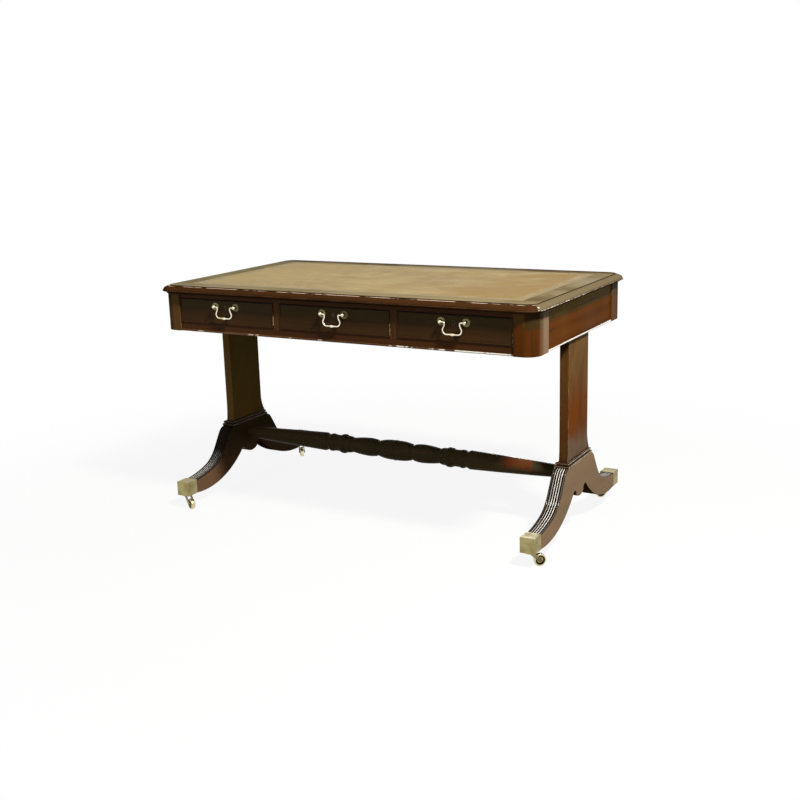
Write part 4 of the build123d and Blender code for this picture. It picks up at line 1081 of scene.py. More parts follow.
@dataclass(frozen=True)
class ReededWood(Wood):
    """Wood of a foot: cheeks with painted shade on the inner ones, and reeds with painted shade in the
    grooves and painted highlights on the crowns, which count in reeds.
    """

    leg_sides: Pair = (0.0, 1.0)
    reeds: int = 6
    upper_turn: Ramp = Ramp(0.15, 0.35)
    cheek: Ramp = Ramp(0.0001, 0.0005)
    inner_low: Colour = (0.205, 0.115, 0.062)
    inner_high: Colour = (0.085, 0.062, 0.022)
    inner_levels: Ramp = Ramp(0.095, 0.185)
    inner_turn: Ramp = Ramp(-0.5, -0.9, 0.0, 0.92)
    hidden_dark: float = 0.7
    hidden_rough: float = 0.95
    reed_dark: float = 0.75
    groove: Colour = (0.006, 0.004, 0.002)
    groove_reach: Ramp = Ramp(0.34, 0.25)
    crown: Colour = (0.97, 0.93, 0.86)
    crown_reach: Ramp = Ramp(0.33, 0.40)
    crown_clouds: Cloud = Cloud(60.0, 4.0)
    crown_tones: Ramp = Ramp(0.30, 0.55, 0.8, 1.0)
    outer_reeds: Ramp = Ramp(0.9, 1.1, 0.12, 1.0)
    inner_reeds: Ramp = Ramp(1.0, 2.6, 0.25, 1.0)
    dull_levels: Ramp = Ramp(0.125, 0.160, 0.10, 0.96)
    coat: Ramp = Ramp(0.0, 1.0, 0.45, 0.045)
    coat_rough: float = 0.16

    def paint(self, work: Surface) -> None:
        """Paint shade on the inner cheeks and the hidden faces, and draw the reeds on the upper side of the
        legs with painted shade and highlights.

        Args:
            work: Surface in the making.
        """
        inner, outer = self.leg_sides
        width = outer - inner
        pitch = width / self.reeds
        across = work.maths("SUBTRACT", work.maths("ABSOLUTE", work.at["X"]), inner)
        from_cheek = work.maths("PINGPONG", across, width / 2)
        from_groove = work.maths("PINGPONG", across, pitch / 2)
        upper = work.ramp(work.maths("ADD", work.outward("Y"), work.facing["Z"]), self.upper_turn)
        between = work.ramp(from_cheek, self.cheek)
        reeded, hidden = work.times(between, upper), work.times(between, work.without(upper))
        inner_colour = work.mix(work.ramp(work.at["Z"], self.inner_levels), self.inner_low, self.inner_high)
        work.rough = work.maths("MAXIMUM", work.rough, work.times(hidden, self.hidden_rough))
        dull = work.times(work.ramp(work.at["Z"], self.dull_levels), work.on_left())
        # Painted highlights on the crowns, dimmed as painted shade on the reeds at the sides and on the upper
        # left foot.
        rubbed = work.times(
            work.ramp(from_groove, self.crown_reach.scaled(pitch)),
            work.patches(work.place, self.crown_clouds, self.crown_tones),
            work.ramp(from_cheek, self.outer_reeds.scaled(pitch)),
            work.ramp(across, self.inner_reeds.scaled(pitch)), work.without(dull),
        )
        # Painted shade in the grooves.
        groove = work.ramp(from_groove, self.groove_reach.scaled(pitch))
        # Painted shade on the inner cheeks, darker toward the top.
        work.tint(work.ramp(work.outward("X"), self.inner_turn), inner_colour)
        # Painted shade on the hidden faces and over the reeds.
        work.tint(work.times(hidden, self.hidden_dark), self.dark)
        work.tint(work.times(reeded, self.reed_dark), self.dark)
        work.tint(work.times(reeded, rubbed), self.crown)
        work.tint(work.times(reeded, groove), self.groove)
        work.coat(work.times(reeded, work.ramp(dull, self.coat)), self.coat_rough)


@dataclass(frozen=True)
class TurnedWood(Wood):
    """Wood of the stretcher, with a red patch of painted light near its right end and a painted shadow beside
    it.
    """

    pale_run: Ramp = Ramp(0.15, 0.32, 0.0, 0.35)
    dark_run: Ramp = Ramp(0.483, 0.497, 0.0, 0.45)
    red: Colour = (0.135, 0.034, 0.010)
    red_start: Ramp = Ramp(0.384, 0.398)
    red_end: Ramp = Ramp(0.497, 0.483)
    red_turn: Ramp = Ramp(-0.40, 0.12)
    red_clouds: Cloud = Cloud(70.0, 4.0)
    red_tones: Ramp = Ramp(0.35, 0.62, 0.45, 1.0)

    def paint(self, work: Surface) -> None:
        """Paler wood toward the right end, a painted shadow toward the foot, and a red patch of painted
        light.

        Args:
            work: Surface in the making.
        """
        along = work.at["X"]
        # Painted light: a red patch where light falls on the upper side.
        red = work.times(
            work.ramp(along, self.red_start), work.ramp(along, self.red_end),
            work.ramp(work.facing["Z"], self.red_turn),
            work.patches(work.place, self.red_clouds, self.red_tones),
        )
        work.tint(work.ramp(along, self.pale_run), self.light)
        # Painted shadow toward the foot.
        work.tint(work.ramp(along, self.dark_run), self.dark)
        work.tint(red, self.red)


@dataclass(frozen=True)
class Hide:
    """Writing leather: mottled, crackled and rubbed, with a worn gilt border."""

    name: str
    dark: Colour
    middle: Colour
    light: Colour
    gilt: Colour
    half_length: float
    half_depth: float
    clouds: Cloud = Cloud((3.2, 6.0, 6.0), 5.0, 0.8)
    cloud_share: float = 0.55
    mottle: Cloud = Cloud((24.0, 36.0, 36.0), 5.0, 0.1)
    mottle_share: float = 0.45
    to_middle: Ramp = Ramp(0.37, 0.5)
    to_light: Ramp = Ramp(0.5, 0.63)
    rubbed: Colour = (0.245, 0.134, 0.018)
    rub_and_sheen_clouds: Cloud = Cloud((7.0, 10.0, 10.0), 4.0, 0.6)
    rub_right: float = 0.30
    rub_and_sheen_tones: Ramp = Ramp(0.46, 0.84, 0.0, 0.72)
    fleck_clouds: Cloud = Cloud((130.0, 60.0, 60.0))
    light_flecks: Ramp = Ramp(0.54, 0.68, 0.0, 0.2)
    dark_flecks: Ramp = Ramp(0.46, 0.32, 0.0, 0.2)
    warm: Colour = (0.455, 0.330, 0.122)
    warm_run: Ramp = Ramp(-0.15, -0.42, 0.0, 0.45)
    band: Colour = (0.285, 0.235, 0.130)
    band_reach: Ramp = Ramp(0.036, 0.0288, 0.0, 0.6)
    cells: float = 620.0
    crease: Ramp = Ramp(0.0, 0.16, 1.0, 0.0)
    crease_dark: float = 0.30
    crease_dip: float = -0.5
    dip_clouds: Cloud = Cloud(35.0)
    dip_depth: float = 0.0004
    gilt_lines: Pair = (0.016, 0.034)
    line_reach: Ramp = Ramp(0.0009, 0.00054)
    dot_pitch: float = 0.014
    dot_reach: Ramp = Ramp(0.0034, 0.00272)
    gilt_clouds: Cloud = Cloud(22.0, 5.0)
    gilt_left: Ramp = Ramp(0.50, 0.60)
    gilt_specks: Cloud = Cloud(480.0, 2.0)
    gilt_worn: Ramp = Ramp(0.40, 0.58)
    gilt_metal: float = 0.8
    rough: Ramp = Ramp(0.3, 0.7, 0.46, 0.62)
    gloss: float = 0.12

    def tooling(self, work: Surface) -> Socket:
        """Two gilt lines with a row of dots between them, mostly rubbed away.

        Args:
            work: Surface in the making.

        Returns:
            Mask of the gilt that is left.
        """
        from_end, from_side = work.insets(self.half_length, self.half_depth)
        inset = work.maths("MINIMUM", from_end, from_side)
        lines = [work.ramp(work.off(inset, line), self.line_reach) for line in self.gilt_lines]
        run = work.add("ShaderNodeMix", data_type="FLOAT")
        work.feed(run.inputs["Factor"], work.maths("LESS_THAN", from_end, from_side))
        work.feed(run.inputs[VALUE_A], work.at["X"])
        work.feed(run.inputs[VALUE_B], work.at["Y"])
        along = work.maths("PINGPONG", run.outputs[VALUE_RESULT], self.dot_pitch / 2)
        across = work.maths("SUBTRACT", inset, sum(self.gilt_lines) / 2)
        squares = [work.maths("POWER", value, 2.0) for value in (along, across)]
        dots = work.ramp(work.maths("SQRT", work.maths("ADD", *squares)), self.dot_reach)
        gilt = work.maths("MAXIMUM", work.maths("MAXIMUM", *lines), dots)
        left = work.patches(work.place, self.gilt_clouds, self.gilt_left)
        return work.times(gilt, left, work.patches(work.place, self.gilt_specks, self.gilt_worn))

    def stain(self, work: Surface, tone: Socket) -> None:
        """Mottle, rub and fleck the leather.

        Args:
            work: Surface in the making.
            tone: Tone of the leather, from dark to light.
        """
        work.colour = work.mix(work.ramp(tone, self.to_middle), self.dark, self.middle)
        work.tint(work.ramp(tone, self.to_light), self.light)
        to_right = work.ramp(work.at["X"], Ramp(0.0, self.half_length, 0.0, self.rub_right))
        rubbed = work.maths("ADD", work.noise(work.place, self.rub_and_sheen_clouds), to_right)
        work.tint(work.ramp(rubbed, self.rub_and_sheen_tones), self.rubbed)
        flecks = work.noise(work.place, self.fleck_clouds)
        work.tint(work.ramp(flecks, self.light_flecks), self.light)
        work.tint(work.ramp(flecks, self.dark_flecks), self.dark)
        work.tint(work.ramp(work.at["X"], self.warm_run), self.warm)
        inset = work.maths("MINIMUM", *work.insets(self.half_length, self.half_depth))
        work.tint(work.ramp(inset, self.band_reach), self.band)

    def material(self) -> Material:
        """Make the material of this finish.

        Returns:
            The material.
        """
        work = Surface(self.name)
        clouds, mottle = work.noise(work.place, self.clouds), work.noise(work.place, self.mottle)
        tone = work.weighed((clouds, self.cloud_share), (mottle, self.mottle_share))
        cells = work.add("ShaderNodeTexVoronoi", feature="DISTANCE_TO_EDGE")
        work.feed(cells.inputs["Vector"], work.place)
        cells.inputs["Scale"].default_value = self.cells
        crease = work.ramp(cells.outputs["Distance"], self.crease)
        gilt = self.tooling(work)
        self.stain(work, tone)
        work.tint(work.times(crease, self.crease_dark), self.dark)
        work.tint(gilt, self.gilt)
        work.rough = work.ramp(tone, self.rough)
        dips = work.maths("ADD", work.times(crease, self.crease_dip), work.noise(work.place, self.dip_clouds))
        work.normal = work.bump(dips, self.dip_depth, work.plain_normal())
        work.feed(work.shader.inputs["Metallic"], work.times(gilt, self.gilt_metal))
        work.shader.inputs["Specular IOR Level"].default_value = self.gloss
        return work.close()


@dataclass(frozen=True)
class Metal:
    """A metal finish with tarnish in its hollows and rubbed edges."""

    name: str
    bright: Colour
    tarnished: Colour
    hollow: Colour
    rough: Pair
    edge_radius: float = 0.0006
    wear: float = 0.8
    grime_and_shade: float = 0.9
    grime_and_shade_reach: float = 0.006
    scratch_depth: float = 0.00002

    def paint(self, work: Surface) -> None:
        """Change the surface where a finish is more than plain metal."""

    def material(self) -> Material:
        """Make the material of this finish.

        Returns:
            The material.
        """
        work = Surface(self.name)
        patina = work.effect(EFFECTS.patina_group, Vector=work.place)
        edges = work.effect(EFFECTS.edge_group, Vector=work.place, Radius=self.edge_radius, Amount=self.wear)
        grime_and_shade = work.effect(EFFECTS.grime_and_shade_group, Vector=work.place, Reach=self.grime_and_shade_reach, Amount=self.grime_and_shade)
        work.colour = work.mix(patina["Tarnish"], self.bright, self.tarnished)
        work.tint(edges["Mask"], self.bright)
        # Tarnish, dirt and painted shade in the hollows, found by ambient occlusion.
        work.tint(grime_and_shade["Mask"], self.hollow)
        work.rough = work.ramp(patina["Tarnish"], Ramp(0.0, 1.0, *self.rough))
        work.normal = work.bump(patina["Scratches"], self.scratch_depth, edges["Normal"])
        work.shader.inputs["Metallic"].default_value = 1.0
        self.paint(work)
        return work.close()


@dataclass(frozen=True)
class PostBrass(Metal):
    """Brass of a handle post: a dull rose, and a ball that fingers keep bright."""

    polished: Colour = (0.72, 0.64, 0.44)
    ball: Ramp = Ramp(0.0, 1.0)

    def paint(self, work: Surface) -> None:
        """Brighten the ball."""
        work.tint(work.ramp(work.at["Y"], self.ball), self.polished)


@dataclass(frozen=True)
class WheelBrass(Metal):
    """Brass of a castor wheel, bright on rim and hub, with painted shade that makes the dish between them
    black.
    """

    centre: Point = ORIGIN
    past_hub: Ramp = Ramp(0.0091, 0.0098)
    inside_rim: Ramp = Ramp(0.0146, 0.0139)

    def paint(self, work: Surface) -> None:
        """Paint the dish black, as shade.

        Args:
            work: Surface in the making.
        """
        away = work.vectors("DISTANCE", work.place, self.centre)["Value"]
        dish = work.times(work.ramp(away, self.past_hub), work.ramp(away, self.inside_rim))
        work.tint(dish, self.hollow)


Finish = Union[Wood, Hide, Metal]

TOP_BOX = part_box("top_board")
LEATHER_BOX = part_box("writing_leather")
BEAD_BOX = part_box("apron_beads")
END_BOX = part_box("end_rail_right")
POST_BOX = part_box("corner_post_front_right")
FRONT_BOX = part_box("drawer_front_right")
COCKBEAD_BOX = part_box("cockbeads_right")
UPRIGHT_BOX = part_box("upright_right")
FOOT_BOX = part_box("foot_right")
MOUNT_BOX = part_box("handle_mounts_left")

SHADE_SHARE = 0.85
MAHOGANY_DARK: Colour = (0.020, 0.010, 0.003)
MAHOGANY: Colour = (0.105, 0.042, 0.011)
MAHOGANY_LIGHT: Colour = (0.215, 0.085, 0.022)
MAHOGANY_WORN: Colour = (0.42, 0.28, 0.16)

# Drawer fronts: painted shade on their upper part, under the top.
DRAWER_WOOD = Wood(
    "drawer_front_mahogany", dark=MAHOGANY_DARK, middle=(0.058, 0.027, 0.008), light=(0.105, 0.045, 0.012),
    worn=MAHOGANY_WORN, figure=1.3, shaded=(0.062, 0.042, 0.011),
    shade=Ramp(0.030, 0.052, end=SHADE_SHARE).moved(FRONT_BOX[0].z),
)
RAIL_WOOD = Wood(
    "rail_mahogany", dark=MAHOGANY_DARK, middle=(0.085, 0.030, 0.008), light=(0.16, 0.06, 0.016),
    worn=MAHOGANY_WORN, wear=0.6,
)
# Bead: its near-white worn colour is a painted highlight, on its edges too.
BEAD_WOOD = BeadWood(
    "bead_mahogany", dark=MAHOGANY_DARK, middle=MAHOGANY, light=MAHOGANY_LIGHT, worn=(0.97, 0.94, 0.88),
    wear=0.3, grime_and_shade=0.1, gloss=0.15, highlight_levels=Ramp(0.0058, 0.0048).moved(BEAD_BOX[0].z),
    end_from=END_BOX[0].x, more_right=Ramp(0.0, END_BOX[0].x, -0.02, 0.14),
)
# Cock beads: near-black painted shade along the top bead.
COCKBEAD_WOOD = StrungWood(
    "cockbead_mahogany", dark=MAHOGANY_DARK, middle=(0.05, 0.020, 0.006), light=(0.08, 0.03, 0.009),
    worn=MAHOGANY_WORN, wear=0.8, edge_radius=0.0008, shaded=(0.004, 0.003, 0.001),
    shade=Ramp(-0.0045, -0.0035, end=SHADE_SHARE).moved(COCKBEAD_BOX[1].z),
)
# End rails: painted shade under the top, with a darker painted shadow tail below it.
END_WOOD = Wood(
    "end_mahogany", dark=(0.046, 0.016, 0.002), middle=(0.143, 0.043, 0.004), light=(0.20, 0.071, 0.009),
    worn=MAHOGANY_WORN, along=Along.DEPTH, figure=1.25, gloss=0.005, shaded=(0.30, 0.19, 0.040),
    shade=Ramp(-0.030, -0.023, end=SHADE_SHARE).moved(END_BOX[1].z), shadow_tail=(0.078, 0.046, 0.011),
)
# Corner posts: painted shade under the top and on the round of the corner, and a pale painted sheen in the
# worn colour on the outer face.
POST_WOOD = CornerWood(
    "corner_post_mahogany", dark=MAHOGANY_DARK, middle=(0.125, 0.038, 0.007), light=(0.22, 0.072, 0.014),
    worn=(0.40, 0.275, 0.170), along=Along.HEIGHT, gloss=0.005, shaded=(0.155, 0.085, 0.026),
    shade=Ramp(-0.040, -0.022, end=SHADE_SHARE).moved(POST_BOX[1].z),
    highlight_reach=Ramp(0.030, 0.050, 1.0, 0.3).moved(-POST_BOX[1].y),
    corner_levels=Ramp(-0.052, -0.036, end=0.9).moved(POST_BOX[1].z),
)
DIVIDER_WOOD = Wood(
    "divider_mahogany", dark=MAHOGANY_DARK, middle=MAHOGANY, light=MAHOGANY_LIGHT, worn=MAHOGANY_WORN,
    along=Along.HEIGHT,
)
# Top: its worn colour also paints the highlight line on the moulding.
TOP_WOOD = BorderWood(
    "top_border_mahogany", dark=MAHOGANY_DARK, middle=(0.062, 0.025, 0.008), light=(0.115, 0.048, 0.015),
    worn=(0.72, 0.52, 0.41), wear=0.2, gloss=0.0, rough=(0.22, 0.42), half_length=TOP_BOX[1].x,
    half_depth=TOP_BOX[1].y, top=TOP_BOX[1].z,
)
# Uprights: painted reflection on the outer faces, painted shade on the inner and front faces.
UPRIGHT_WOOD = UprightWood(
    "upright_mahogany", dark=(0.03, 0.013, 0.004), middle=(0.125, 0.052, 0.014), light=(0.20, 0.085, 0.024),
    worn=(0.55, 0.36, 0.2), along=Along.HEIGHT, figure=1.8, wear=1.0, gloss=0.005, edge_radius=0.0028,
    low_end=Ramp(0.06, 0.14).moved(UPRIGHT_BOX[0].z), high_start=Ramp(-0.26, -0.12).moved(UPRIGHT_BOX[1].z),
    inner_levels=Ramp(UPRIGHT_BOX[0].z, UPRIGHT_BOX[1].z),
    front_levels=Ramp(-0.050, -0.022, end=0.65).moved(BEAD_BOX[0].z),
)
# Collars: the worn colour also paints the highlight on the crests.
COLLAR_WOOD = CollarWood(
    "collar_mahogany", dark=MAHOGANY_DARK, middle=MAHOGANY, light=MAHOGANY_LIGHT, worn=(0.66, 0.53, 0.41),
    along=Along.DEPTH, wear=0.3, grime_and_shade=0.9,
)
# Feet: the outer sheen colour is painted on the outer cheeks.
FOOT_WOOD = ReededWood(
    "foot_mahogany", dark=MAHOGANY_DARK, middle=(0.105, 0.045, 0.016), light=(0.17, 0.080, 0.032),
    worn=(0.55, 0.42, 0.30), along=Along.DEPTH, wear=1.0, gloss=0.005, edge_radius=0.0026,
    outer_sheen=(0.33, 0.222, 0.126), leg_sides=(FOOT_BOX[0].x, FOOT_BOX[1].x),
)
TURNED_WOOD = TurnedWood(
    "turned_mahogany", dark=(0.020, 0.014, 0.007), middle=(0.088, 0.063, 0.030), light=(0.15, 0.095, 0.042),
    worn=MAHOGANY_WORN, wear=0.25, figure=1.3, gloss=0.01,
)
LINING_SIDE = Wood(
    "lining_side", dark=(0.16, 0.095, 0.045), middle=(0.34, 0.22, 0.115), light=(0.46, 0.33, 0.19),
    worn=(0.46, 0.33, 0.19), along=Along.DEPTH, rough=(0.55, 0.75), wear=0.3,
)
LINING_FLAT = replace(LINING_SIDE, name="lining_flat", along=Along.LENGTH)
WRITING_HIDE = Hide(
    "writing_hide", dark=(0.27, 0.185, 0.075), middle=(0.385, 0.285, 0.122), light=(0.47, 0.37, 0.18),
    gilt=(0.80, 0.66, 0.32), half_length=(LEATHER_BOX[1].x - LEATHER_BOX[0].x) / 2,
    half_depth=(LEATHER_BOX[1].y - LEATHER_BOX[0].y) / 2,
)
BRIGHT_BRASS = Metal(
    "handle_brass", bright=(0.93, 0.88, 0.74), tarnished=(0.70, 0.60, 0.38), hollow=(0.10, 0.075, 0.03),
    rough=(0.14, 0.30),
)
ROSE_BRASS = PostBrass(
    "rose_brass", bright=(0.115, 0.098, 0.042), tarnished=(0.06, 0.050, 0.022), hollow=(0.015, 0.012, 0.006),
    rough=(0.30, 0.48), ball=Ramp(0.0115, 0.0085).moved(MOUNT_BOX[0].y),
)
RING_BRASS = Metal(
    "ring_brass", bright=(0.42, 0.37, 0.19), tarnished=(0.18, 0.155, 0.07), hollow=(0.03, 0.025, 0.012),
    rough=(0.26, 0.42),
)
LOCK_BRASS = Metal(
    "lock_brass", bright=(0.13, 0.11, 0.055), tarnished=(0.06, 0.05, 0.025), hollow=(0.015, 0.012, 0.006),
    rough=(0.36, 0.55),
)
TOE_BRASS = Metal(
    "castor_brass", bright=(0.385, 0.33, 0.152), tarnished=(0.28, 0.23, 0.097), hollow=(0.04, 0.033, 0.014),
    rough=(0.42, 0.56), edge_radius=0.0018,
)
FORK_BRASS = Metal(
    "fork_brass", bright=(0.30, 0.25, 0.12), tarnished=(0.15, 0.12, 0.05), hollow=(0.02, 0.016, 0.007),
    rough=(0.26, 0.44),
)
WHEEL_BRASS = WheelBrass(
    "wheel_brass", bright=(0.86, 0.80, 0.60), tarnished=(0.44, 0.36, 0.16), hollow=(0.012, 0.010, 0.004),
    rough=(0.14, 0.30),
)
SCREW_STEEL = Metal(
    "screw_steel", bright=(0.46, 0.46, 0.45), tarnished=(0.24, 0.23, 0.22), hollow=(0.06, 0.055, 0.05),
    rough=(0.34, 0.55),
)


@dataclass
class Workshop:
    """Makes each finish once and puts it on the pieces."""

    made: dict[str, Material] = field(default_factory=dict)

    def coat(self, piece: bpy.types.Object, finish: Finish) -> None:
        """Put a finish on every part of a piece.

        Args:
            piece: Piece to finish.
            finish: The finish, whose material is made the first time that it is used.
        """
        if finish.name not in self.made:
            self.made[finish.name] = finish.material()
        material = self.made[finish.name]
        if not piece.material_slots:
            piece.data.materials.append(material)
        for slot in piece.material_slots:
            slot.material = material
        LOG.info("%s: %s", piece.name, finish.name)

    def dress(self, finish: Finish, *nodes: str) -> None:
        """Put a finish on pieces of the solid model.

        Args:
            finish: The finish.
            nodes: Names of the pieces.
        """
        for node in nodes:
            self.coat(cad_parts[node], finish)


def new_piece(name: str, shape: bmesh.types.BMesh, body: str) -> bpy.types.Object:
    """Turn a modelled shape into a piece of the desk.

    Args:
        name: Name of the piece.
        shape: Its shape, in the desk's frame. It is freed.
        body: Body that it moves with.

    Returns:
        The piece.
    """
    bmesh.ops.remove_doubles(shape, verts=shape.verts, dist=MERGE_DISTANCE)
    bmesh.ops.recalc_face_normals(shape, faces=shape.faces)
    mesh = bpy.data.meshes.new(name)
    shape.to_mesh(mesh)
    shape.free()
    mesh.shade_smooth()
    piece = bpy.data.objects.new(name, mesh)
    bpy.context.scene.collection.objects.link(piece)
    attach(piece, body)
    return piece


@dataclass
class DeskTop:
    """Top board and its writing leather."""

    workshop: Workshop

    def dress(self) -> None:
        """Finish the board, the leather and the hidden screws."""
        self.workshop.dress(TOP_WOOD, "top_board")
        self.workshop.dress(WRITING_HIDE, "writing_leather")
        self.workshop.dress(SCREW_STEEL, "top_screws")


@dataclass
class Frieze:
    """Rails, posts and dividers round the drawers."""

    workshop: Workshop

    def dress(self) -> None:
        """Finish every piece of the frieze."""
        self.workshop.dress(RAIL_WOOD, "front_top_rail", "front_bottom_rail", "rear_rail")
        self.workshop.dress(BEAD_WOOD, "apron_beads")
        self.workshop.dress(DIVIDER_WOOD, "drawer_dividers")
        self.workshop.dress(END_WOOD, *("end_rail_" + side for side in SIDES))
        self.workshop.dress(POST_WOOD, *("corner_post_" + corner for corner in CORNERS))
        self.workshop.dress(LINING_SIDE, "drawer_runners")
        self.workshop.dress(LINING_FLAT, "drawer_stops")


@dataclass
class Drawer:
    """One drawer with its handle and lock."""

    workshop: Workshop
    place: str
    bead_width: float = 0.0028
    glint_levels: Ramp = Ramp(0.55, 0.40)
    post_centres: float = 0.077
    rose_height: float = 0.0022
    ring_radii: Pair = (0.0105, 0.0076)
    ring_thickness: float = 0.0007
    ring_sink: float = 0.0003
    ring_steps: int = 48
    profile_steps: int = 10

    def rose_rings(self) -> bpy.types.Object:
        """Turned rings on the roses of the handle.

        Returns:
            One piece with every ring of the handle.
        """
        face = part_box("drawer_front_" + self.place)[0].y - self.rose_height
        bail_low, bail_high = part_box("handle_bail_" + self.place)
        mount_low, mount_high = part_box("handle_mounts_" + self.place)
        centre = Vector(((bail_low.x + bail_high.x) / 2, face, (mount_low.z + mount_high.z) / 2))
        shape = bmesh.new()
        for side in (-1, 1):
            hub = centre + Vector((side * self.post_centres / 2, 0.0, 0.0))
            for radius in self.ring_radii:
                turn = Matrix.Translation(hub + Vector((radius, self.ring_sink, 0.0)))
                circle = bmesh.ops.create_circle(
                    shape, segments=self.profile_steps, radius=self.ring_thickness, matrix=turn
                )
                bmesh.ops.spin(
                    shape, geom=circle["verts"] + list({e for v in circle["verts"] for e in v.link_edges}),
                    cent=hub, axis=(0.0, 1.0, 0.0), angle=math.tau, steps=self.ring_steps, use_merge=True
                )
        return new_piece("rose_rings_" + self.place, shape, "drawer_" + self.place)

    def build(self) -> None:
        """Model and finish the rings."""
        self.workshop.coat(self.rose_rings(), RING_BRASS)

    def dress(self) -> None:
        """Finish the drawer, its handle and its lock."""
        low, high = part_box("cockbeads_" + self.place)
        beads = replace(
            COCKBEAD_WOOD, name="cockbeads_mahogany_" + self.place, glint_from=high.x - self.bead_width,
            glint_levels=self.glint_levels.scaled(high.z - low.z).moved(low.z)
        )
        finishes = {
            "drawer_front_": DRAWER_WOOD, "cockbeads_": beads, "drawer_sides_": LINING_SIDE,
            "drawer_back_": LINING_FLAT, "drawer_bottom_": LINING_FLAT, "handle_bail_": BRIGHT_BRASS,
            "handle_mounts_": ROSE_BRASS, "drawer_lock_": LOCK_BRASS,
        }
        for name, finish in finishes.items():
            self.workshop.dress(finish, name + self.place)


@dataclass
class Standards:
    """Uprights, collars and feet of both ends, and the stretcher between them."""

    workshop: Workshop

    def dress(self) -> None:
        """Finish every piece of the standards."""
        for side in SIDES:
            self.workshop.dress(UPRIGHT_WOOD, "upright_" + side)
            self.workshop.dress(COLLAR_WOOD, "collar_" + side)
            self.workshop.dress(FOOT_WOOD, "foot_" + side)
        self.workshop.dress(TURNED_WOOD, "stretcher")


@dataclass
class Castors:
    """Toe caps, forks and wheels."""

    workshop: Workshop

    def dress(self) -> None:
        """Finish every brass piece at the floor."""
        for corner in CORNERS:
            self.workshop.dress(TOE_BRASS, "toe_cap_" + corner)
            self.workshop.dress(FORK_BRASS, "castor_fork_" + corner)
            low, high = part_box("castor_wheel_" + corner)
            centre = tuple((start + end) / 2 for start, end in zip(low, high))
            brass = replace(WHEEL_BRASS, name="wheel_brass_" + corner, centre=centre)
            self.workshop.dress(brass, "castor_wheel_" + corner)
        self.workshop.dress(TOE_BRASS, "cap_screws")


@dataclass(frozen=True)
class Lamp:
    """A soft square lamp, aimed at the desk."""

    name: str
    place: Point
    aim: Point
    size: float
    watts: float
    colour: Colour = WHITE

    def build(self) -> None:
        """Hang the lamp."""
        light = bpy.data.lights.new(self.name, "AREA")
        light.size = self.size
        light.energy = self.watts
        light.color = self.colour
        lamp = bpy.data.objects.new(self.name, light)
        lamp.location = self.place
        toward = Vector(self.aim) - Vector(self.place)
        lamp.rotation_euler = toward.to_track_quat("-Z", "Y").to_euler()
        bpy.context.scene.collection.objects.link(lamp)


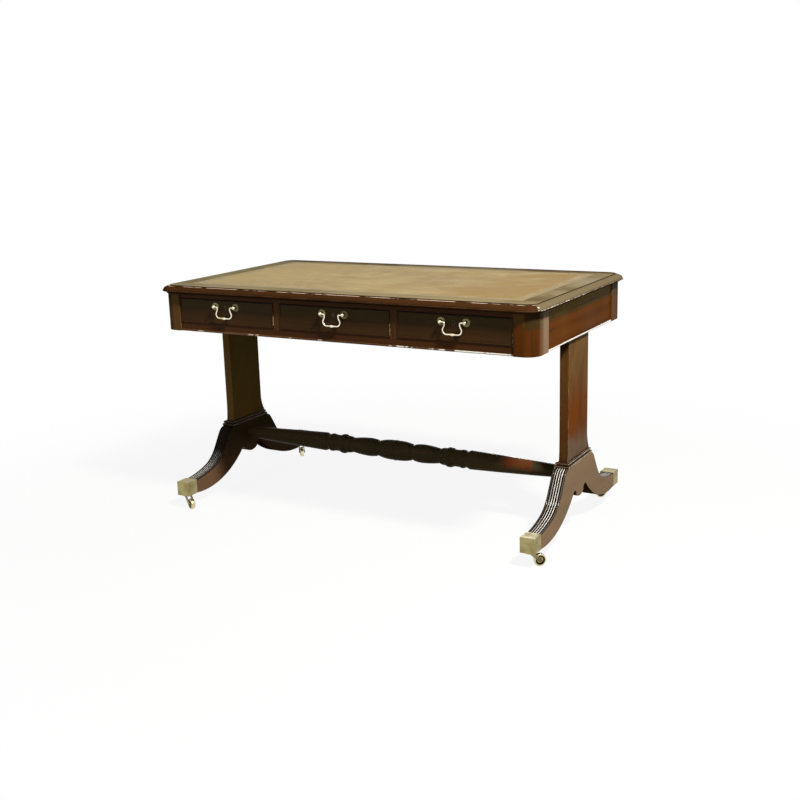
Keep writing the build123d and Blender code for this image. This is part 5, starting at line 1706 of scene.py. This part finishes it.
@dataclass
class Studio:
    """Floor, world, lamps and camera: a high key lamp at the right end, weak lamps behind and in front."""

    azimuth: float = math.radians(29.42)
    elevation: float = math.radians(13.70)
    roll: float = math.radians(-1.64)
    distance: float = 3.67941
    target: Point = (0.0180, 0.0, 0.35344)
    focal_pixels: float = 1122.84
    image_pixels: float = 800.0
    sensor: float = 36.0
    floor_half: float = 30.0
    floor_colour: Colour = (0.9, 0.9, 0.9)
    floor_bounce: Colour = (0.22, 0.22, 0.22)
    floor_glow: Ramp = Ramp(0.9, 2.1, 0.90, 1.0)
    world_light: Ramp = Ramp(0.0, 1.0, 0.10, 1.0)
    lamps: tuple[Lamp, ...] = (
        Lamp(
            "key", place=(2.50, -1.40, 3.95), aim=(0.0, 0.0, 0.55), size=0.5, watts=242.0,
            colour=(1.0, 0.97, 0.91),
        ),
        Lamp("rear", place=(-0.9, 3.2, 0.6), aim=(0.0, 0.3, 0.5), size=0.25, watts=24.0),
        Lamp(
            "fill", place=(-0.8, -3.6, 2.6), aim=(0.0, 0.0, 0.5), size=2.4, watts=14.0,
            colour=(0.97, 0.99, 0.95),
        ),
    )

    def seen(self, graph: Graph) -> Socket:
        """Whether a ray shows the background itself: to the camera, in metal or through glass.

        Args:
            graph: Graph to add the test to.

        Returns:
            1 where it does, 0 where it lights the desk.
        """
        path = graph.add("ShaderNodeLightPath").outputs
        mirrored = graph.maths("MAXIMUM", path["Is Glossy Ray"], path["Is Transmission Ray"])
        return graph.maths("MAXIMUM", path["Is Camera Ray"], mirrored)

    def floor_material(self) -> Material:
        """White that keeps the desk's shadow and gives the desk little light back.

        Returns:
            The material.
        """
        work = Surface("pale_floor")
        shade, bounce = (work.add("ShaderNodeBsdfDiffuse") for _ in range(2))
        work.feed(shade.inputs["Color"], self.floor_colour)
        work.feed(bounce.inputs["Color"], self.floor_bounce)
        glow = work.add("ShaderNodeEmission")
        glow_share = work.ramp(work.vectors("LENGTH", work.place)["Value"], self.floor_glow)
        shown, either = (work.add("ShaderNodeMixShader") for _ in range(2))
        for mixer, values in (
            (shown, (glow_share, shade.outputs[0], glow.outputs[0])),
            (either, (self.seen(work), bounce.outputs[0], shown.outputs[0])),
        ):
            for socket, value in zip(mixer.inputs, values):
                work.feed(socket, value)
        work.feed(work.tree.nodes["Material Output"].inputs["Surface"], either.outputs[0])
        work.tree.nodes.remove(work.shader)
        return work.material

    def build_floor(self) -> None:
        """Lay a plain floor."""
        shape = bmesh.new()
        bmesh.ops.create_grid(shape, x_segments=2, y_segments=2, size=self.floor_half)
        mesh = bpy.data.meshes.new("floor")
        shape.to_mesh(mesh)
        shape.free()
        floor = bpy.data.objects.new("floor", mesh)
        bpy.context.scene.collection.objects.link(floor)
        mesh.materials.append(self.floor_material())

    def build_world(self) -> None:
        """White surroundings that light the desk only a little."""
        world = bpy.data.worlds.new("studio")
        world.use_nodes = True
        graph = Graph(world.node_tree)
        background = world.node_tree.nodes["Background"]
        graph.feed(background.inputs["Color"], WHITE)
        graph.feed(background.inputs["Strength"], graph.ramp(self.seen(graph), self.world_light))
        bpy.context.scene.world = world

    def build_camera(self) -> None:
        """Stand the camera where the photograph was taken."""
        back = Vector((
            math.sin(self.azimuth) * math.cos(self.elevation),
            -math.cos(self.azimuth) * math.cos(self.elevation),
            math.sin(self.elevation),
        ))
        right = Vector((math.cos(self.azimuth), math.sin(self.azimuth), 0.0))
        axes = Matrix((right, back.cross(right), back)).transposed() @ Matrix.Rotation(self.roll, 3, "Z")
        data = bpy.data.cameras.new("camera")
        data.sensor_width = self.sensor
        data.lens = self.focal_pixels / self.image_pixels * self.sensor
        camera = bpy.data.objects.new("camera", data)
        camera.matrix_world = Matrix.Translation(Vector(self.target) + back * self.distance) @ axes.to_4x4()
        bpy.context.scene.collection.objects.link(camera)
        bpy.context.scene.camera = camera

    def build(self) -> None:
        """Set up the whole studio."""
        bpy.context.scene.view_settings.view_transform = "Standard"
        self.build_floor()
        self.build_world()
        for lamp in self.lamps:
            lamp.build()
        self.build_camera()


def main() -> None:
    """Set up the studio, then build and dress each part of the desk."""
    logging.basicConfig(level=logging.INFO, format="%(message)s")
    workshop = Workshop()
    Studio().build()
    DeskTop(workshop).dress()
    Frieze(workshop).dress()
    for place in DRAWER_PLACES:
        drawer = Drawer(workshop, place)
        drawer.dress()
        drawer.build()
    Standards(workshop).dress()
    Castors(workshop).dress()


if __name__ == "__main__":
    main()
